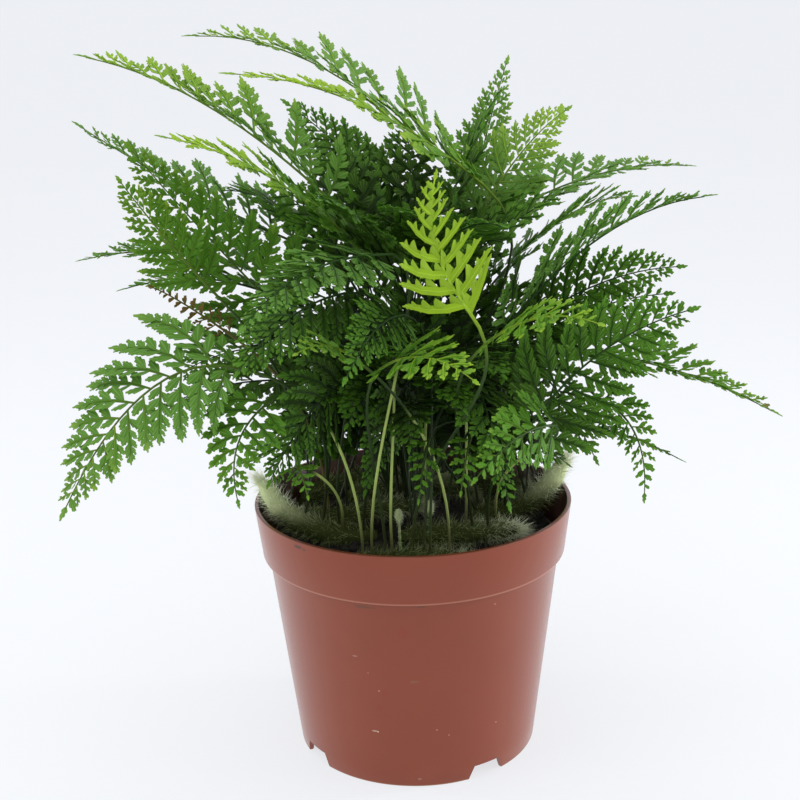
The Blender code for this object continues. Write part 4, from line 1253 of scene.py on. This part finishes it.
def makeSoil():
    rng = random.Random(11)
    size = soilLook
    rings = size["rings"]
    outline = [(0, size["bottom"]), (size["bottomRadius"], size["bottom"])]
    outline.append((size["radius"], size["level"] - size["edgeDrop"]))
    outline += [(size["radius"] * (1 - step / rings), size["level"]) for step in range(1, rings + 1)]
    bm = lathe(outline, size["steps"])
    for vert in bm.verts:
        if vert.co.z > size["level"] - 0.1 * mm:
            vert.co.z = soilHeight(vert.co.x, vert.co.y)
    for index in range(size["crumbs"]):
        spot = soilSpot(rng, 1 * mm)
        grain = (size["crumbRadius"] + size["crumbSpread"] * rng.random() ** 3) * mm
        place = Matrix.Translation(spot + up * (grain * rng.uniform(-0.2, 0.7)))
        turn = Matrix.Rotation(rng.uniform(0, math.tau), 4, randomVector(rng))
        squash = Matrix.Diagonal((rng.uniform(0.7, 1.3), rng.uniform(0.7, 1.3), rng.uniform(0.5, 0.9), 1))
        bmesh.ops.create_icosphere(bm, subdivisions=1, radius=grain, matrix=place @ turn @ squash)
    for index in range(size["fibres"]):
        spot = soilSpot(rng, 5 * mm)
        length = rng.uniform(*size["fibreLength"]) * mm
        thick, thin = size["fibreRadii"]
        turn = Matrix.Rotation(rng.uniform(0, math.tau), 4, "Z")
        tilt = Matrix.Rotation(rng.uniform(1.1, 1.8), 4, "Y")
        place = Matrix.Translation(spot + up * size["fibreLift"]) @ turn @ tilt
        bmesh.ops.create_cone(
            bm, cap_ends=True, segments=4, radius1=thick, radius2=thin, depth=length, matrix=place,
        )
    bmesh.ops.recalc_face_normals(bm, faces=bm.faces[:])
    soil = newPiece("loosePottingSoil", bm, [soilMaterial()], math.radians(60))
    settle(soil, "soil", "soil")
    print("soil made")


makeSoil()


# Rhizomes and croziers
rhizomeLook = {
    "sides": 14,
    "rings": 40,
    "hairs": 1250,
    "tuftHairs": 240,
    # painted light: how pale each rhizome's fur is painted towards its growing end, where it reaches into
    # the light
    "paleEnds": (1, 0.9, 0.6, 0.4, 0.3, 0.1, 0.1, 0.2),
    "hairLength": (1.8 * mm, 6.0 * mm),
    "tuftLength": (3.5 * mm, 9.5 * mm),
    "hairRadius": 0.085 * mm,
    "hairSpread": 0.95,
    "tuftSpread": 0.55,
    # the body under the fur, as a share of the solid's radius, and how lumpy it is
    "core": 0.86,
    "lumps": 0.2,
    "grain": 0.5 * mm,
}
crozierLook = {
    "sides": 10,
    # rings along the stalk and along the coil
    "stalkSteps": 12,
    "coilRings": 64,
    "coilTurns": 1.45,
    "coilShrink": 0.62,
    # the middle line of the coil, as a share of the solid's radius
    "coilLine": 0.72,
    "hairs": 520,
    # in mm
    "hairLength": (0.4, 1.2),
}


def furMaterial():
    material, graph, shader = newMaterial("rhizomeFur", 0.9, Specular_IOR_Level=0.1)
    place = objectPlace(graph)
    x, y, z = place.split()
    outer, tint, palest = carried(graph, "fur")
    patches = speckle(graph, place, 110, 4)
    # painted light: fur high enough to climb into the light, and towards the growing ends given in paleEnds,
    # is painted whitish green, and the rest keeps its olive colour among the stalks
    pale = (steps(z, 0.092, 0.106) + palest).clamp()
    skin = mixed(pale, tone(54, 62, 28), tone(188, 198, 148))
    hair = mixed(pale, mixed(tint, tone(104, 120, 62), tone(186, 200, 138)), tone(246, 250, 230))
    shaded = mixed(steps(patches, 0.4, 0.65) * 0.5, hair, mixed(pale, tone(66, 76, 36), tone(206, 214, 168)))
    feed(shader, "Base Color", mixed(outer, skin, shaded))
    feed(shader, "Normal", bumped(patches, 0.5 * mm, 0.8))
    return material


def addHair(bm, fur, root, lean, length, tint, pale=0):
    # a thin straight hair, pale towards its end
    lean = lean.normalized()
    turn = lean.to_track_quat("Z", "Y").to_matrix().to_4x4()
    place = Matrix.Translation(root + lean * (length / 2)) @ turn
    thick = rhizomeLook["hairRadius"]
    cone = bmesh.ops.create_cone(
        bm, cap_ends=True, segments=3, radius1=thick, radius2=0, depth=length, matrix=place,
    )
    for vert in cone["verts"]:
        vert[fur] = (1 if (vert.co - root).length > length / 2 else 0.3, tint, pale)


def makeRhizomes():
    material = furMaterial()
    for index in range(len(rhizomeRoutes)):
        rng = random.Random(60 + index)
        line = rhizomeLine(index, rhizomeLook["rings"])
        last = len(line) - 1
        bm = bmesh.new()
        fur = bm.verts.layers.float_vector.new("fur")
        radii = []
        for step, point in enumerate(line):
            lumpy = 1 + rhizomeLook["lumps"] * noise.noise(point * 180)
            radii.append(rhizomeRadius(index, step / last) * rhizomeLook["core"] * lumpy)
        tubeBody(bm, line, radii, rhizomeLook["sides"])
        for vert in bm.verts:
            vert.co += vert.normal * (rhizomeLook["grain"] * noise.noise(vert.co * 600))
        for hair in range(rhizomeLook["hairs"]):
            station = rng.uniform(0.02, 0.999) * last
            step, middle, along, flank, top = onLine(line, station)
            around = rng.uniform(0, math.tau)
            out = flank * math.cos(around) + top * math.sin(around)
            root = middle + out * (radii[step] * 0.85)
            if root.z < soilLook["level"] - 1 * mm:
                continue
            short, long = rhizomeLook["hairLength"]
            lean = out + along * rng.uniform(0.1, 1.5) + randomVector(rng) * rhizomeLook["hairSpread"]
            pale = rhizomeLook["paleEnds"][index] * max(0, 2.4 * station / last - 1.4)
            addHair(bm, fur, root, lean, rng.uniform(short, long), rng.random(), pale)
        along = (line[-1] - line[-3]).normalized()
        for hair in range(rhizomeLook["tuftHairs"]):
            root = line[rng.randrange(last - 4, last)] + randomVector(rng) * 0.8 * mm
            short, long = rhizomeLook["tuftLength"]
            lean = along + randomVector(rng) * rhizomeLook["tuftSpread"]
            pale = rhizomeLook["paleEnds"][index]
            addHair(bm, fur, root, lean, rng.uniform(short, long), rng.random(), pale)
        node = f"rhizome_{index + 1:02d}"
        piece = newPiece(node.replace("_", "") + "Furry", bm, [material])
        settle(piece, "rhizome", node)
    print("rhizomes made:", len(rhizomeRoutes))


def crozierLine(seat, out, stalkHeight, coilRadius):
    lift = (out + 2 * up).normalized()
    top = seat + lift * stalkHeight
    across = lift.cross(Vector((0, 1, 0))).normalized()
    ahead = across.cross(lift)
    risers = crozierLook["stalkSteps"]
    line = [(seat - lift * mm).lerp(top, step / risers) for step in range(risers)]
    centre = top + ahead * coilRadius
    rings = crozierLook["coilRings"]
    for step in range(rings):
        wound = step / (rings - 1)
        angle = crozierLook["coilTurns"] * math.tau * wound
        radius = coilRadius * (1 - crozierLook["coilShrink"] * wound)
        line.append(centre - ahead * (radius * math.cos(angle)) + lift * (radius * math.sin(angle)))
    return line


def makeCroziers():
    material, graph, shader = newMaterial("crozierScales", 0.7, Specular_IOR_Level=0.2)
    place = objectPlace(graph)
    outer, tint, coiled = carried(graph, "fur")
    scales = speckle(graph, place, 600, 3)
    skin = mixed(coiled, tone(92, 112, 52), tone(150, 164, 110))
    scaly = mixed(steps(scales, 0.4, 0.65) * 0.6, skin, tone(176, 184, 140))
    feed(shader, "Base Color", mixed(outer, scaly, tone(206, 212, 184)))
    feed(shader, "Normal", bumped(scales, 0.3 * mm, 0.8))
    for index, (rhizome, place, stalk, coil) in enumerate(croziers):
        rng = random.Random(90 + index)
        seat, out = seatOnRhizome(rhizome, place, -1)
        line = crozierLine(seat, out, stalk * mm, crozierLook["coilLine"] * coil * mm)
        last = len(line) - 1
        radii = []
        for step in range(last + 1):
            swelling = 0.75 * min(1, max(0, step - 10) / 14)
            radii.append((0.5 + swelling - 0.3 * step / last) * mm)
        bm = bmesh.new()
        fur = bm.verts.layers.float_vector.new("fur")
        tubeBody(bm, line, radii, crozierLook["sides"])
        stalkTop = crozierLook["stalkSteps"]
        coilStart = line[stalkTop].z - 1 * mm
        for vert in bm.verts:
            vert[fur] = (0, 0, 1 if vert.co.z > coilStart else 0)
        for hair in range(crozierLook["hairs"]):
            step = rng.randrange(1 if hair % 4 == 0 else stalkTop, last)
            along = (line[step + 1] - line[step]).normalized()
            out = along.cross(randomVector(rng)).normalized()
            root = line[step] + out * (radii[step] * 0.9)
            lean = out + along * rng.uniform(0, 1) + randomVector(rng) * 0.6
            addHair(bm, fur, root, lean, rng.uniform(*crozierLook["hairLength"]) * mm, rng.random())
        node = f"crozier_{index + 1:02d}"
        settle(newPiece(node.replace("_", "") + "Coiled", bm, [material]), "crozier", node)
    print("croziers made:", len(croziers))


makeRhizomes()
makeCroziers()


# Floor, light and camera
studioLook = {
    "floorRadius": 1.6,
    "sweepRadius": 0.8,
    "wallHeight": 2.4,
    "steps": 96,
    "floorBase": (0.2, 0.205, 0.21, 1),
    "floorTone": tone(246, 248, 252),
    "floorGlow": 0.735,
    "sky": (0.95, 0.975, 1, 1),
    "world": 0.4,
}

# Softboxes: place, the point each one faces, width and height, in metres, and watts
softboxes = {
    "topBox": ((-0.1, -0.1, 1.2), (0, 0, 0.15), (0.9, 0.9), 5.5),
    "leftBox": ((-0.9, -0.4, 0.7), (0, 0, 0.12), (0.5, 0.9), 2.2),
    "rightBox": ((0.95, -0.25, 0.6), (0, 0, 0.12), (0.4, 0.9), 1.6),
    "rightEdge": ((0.75, 0.12, 0.12), (0, 0, 0.06), (0.12, 0.5), 4.2),
    "leftEdge": ((-0.75, 0.16, 0.12), (0, 0, 0.06), (0.1, 0.5), 2.2),
    "frontBox": ((0.1, -1.3, 0.75), (0, 0, 0.12), (0.8, 0.5), 2.4),
}


def makeStudio():
    flat, bend = studioLook["floorRadius"], studioLook["sweepRadius"]
    sweep = [(0, 0), (flat, 0)]
    for step in range(1, 13):
        angle = step * math.pi / 24
        sweep.append((flat + bend * math.sin(angle), bend - bend * math.cos(angle)))
    sweep.append((flat + bend, studioLook["wallHeight"]))
    bm = lathe(sweep, studioLook["steps"])
    bmesh.ops.recalc_face_normals(bm, faces=bm.faces[:])
    bmesh.ops.reverse_faces(bm, faces=bm.faces[:])
    material, graph, shader = newMaterial("studioFloor", 0.9, Emission_Strength=studioLook["floorGlow"])
    shader.inputs["Base Color"].default_value = studioLook["floorBase"]
    shader.inputs["Emission Color"].default_value = studioLook["floorTone"]
    floor = newPiece("studioSweep", bm, [material])
    world = bpy.data.worlds.new("studioLight")
    bpy.context.scene.world = world
    world.use_nodes = True
    sky = world.node_tree.nodes["Background"]
    sky.inputs["Color"].default_value = studioLook["sky"]
    sky.inputs["Strength"].default_value = studioLook["world"]


def addSoftbox(name, place, aim, size, watts):
    lamp = bpy.data.lights.new(name, "AREA")
    lamp.shape = "RECTANGLE"
    lamp.size, lamp.size_y = size
    lamp.energy = watts
    box = bpy.data.objects.new(name, lamp)
    box.location = place
    box.rotation_euler = (Vector(aim) - Vector(place)).to_track_quat("-Z", "Y").to_euler()
    bpy.context.scene.collection.objects.link(box)


def makeCamera():
    camera = bpy.data.objects.new("photoCamera", bpy.data.cameras.new("photoCamera"))
    camera.data.lens = cameraLook["lens"]
    camera.data.sensor_width = cameraLook["sensor"]
    camera.data.clip_start = cameraLook["nearest"]
    right, over, ahead = cameraAxes()
    turn = Matrix((right, over, -ahead)).transposed().to_4x4()
    camera.matrix_world = Matrix.Translation(cameraLook["place"]) @ turn
    bpy.context.scene.collection.objects.link(camera)
    bpy.context.scene.camera = camera


makeStudio()
for name, setting in softboxes.items():
    addSoftbox(name, *setting)
makeCamera()
bpy.context.scene.view_settings.view_transform = "Standard"
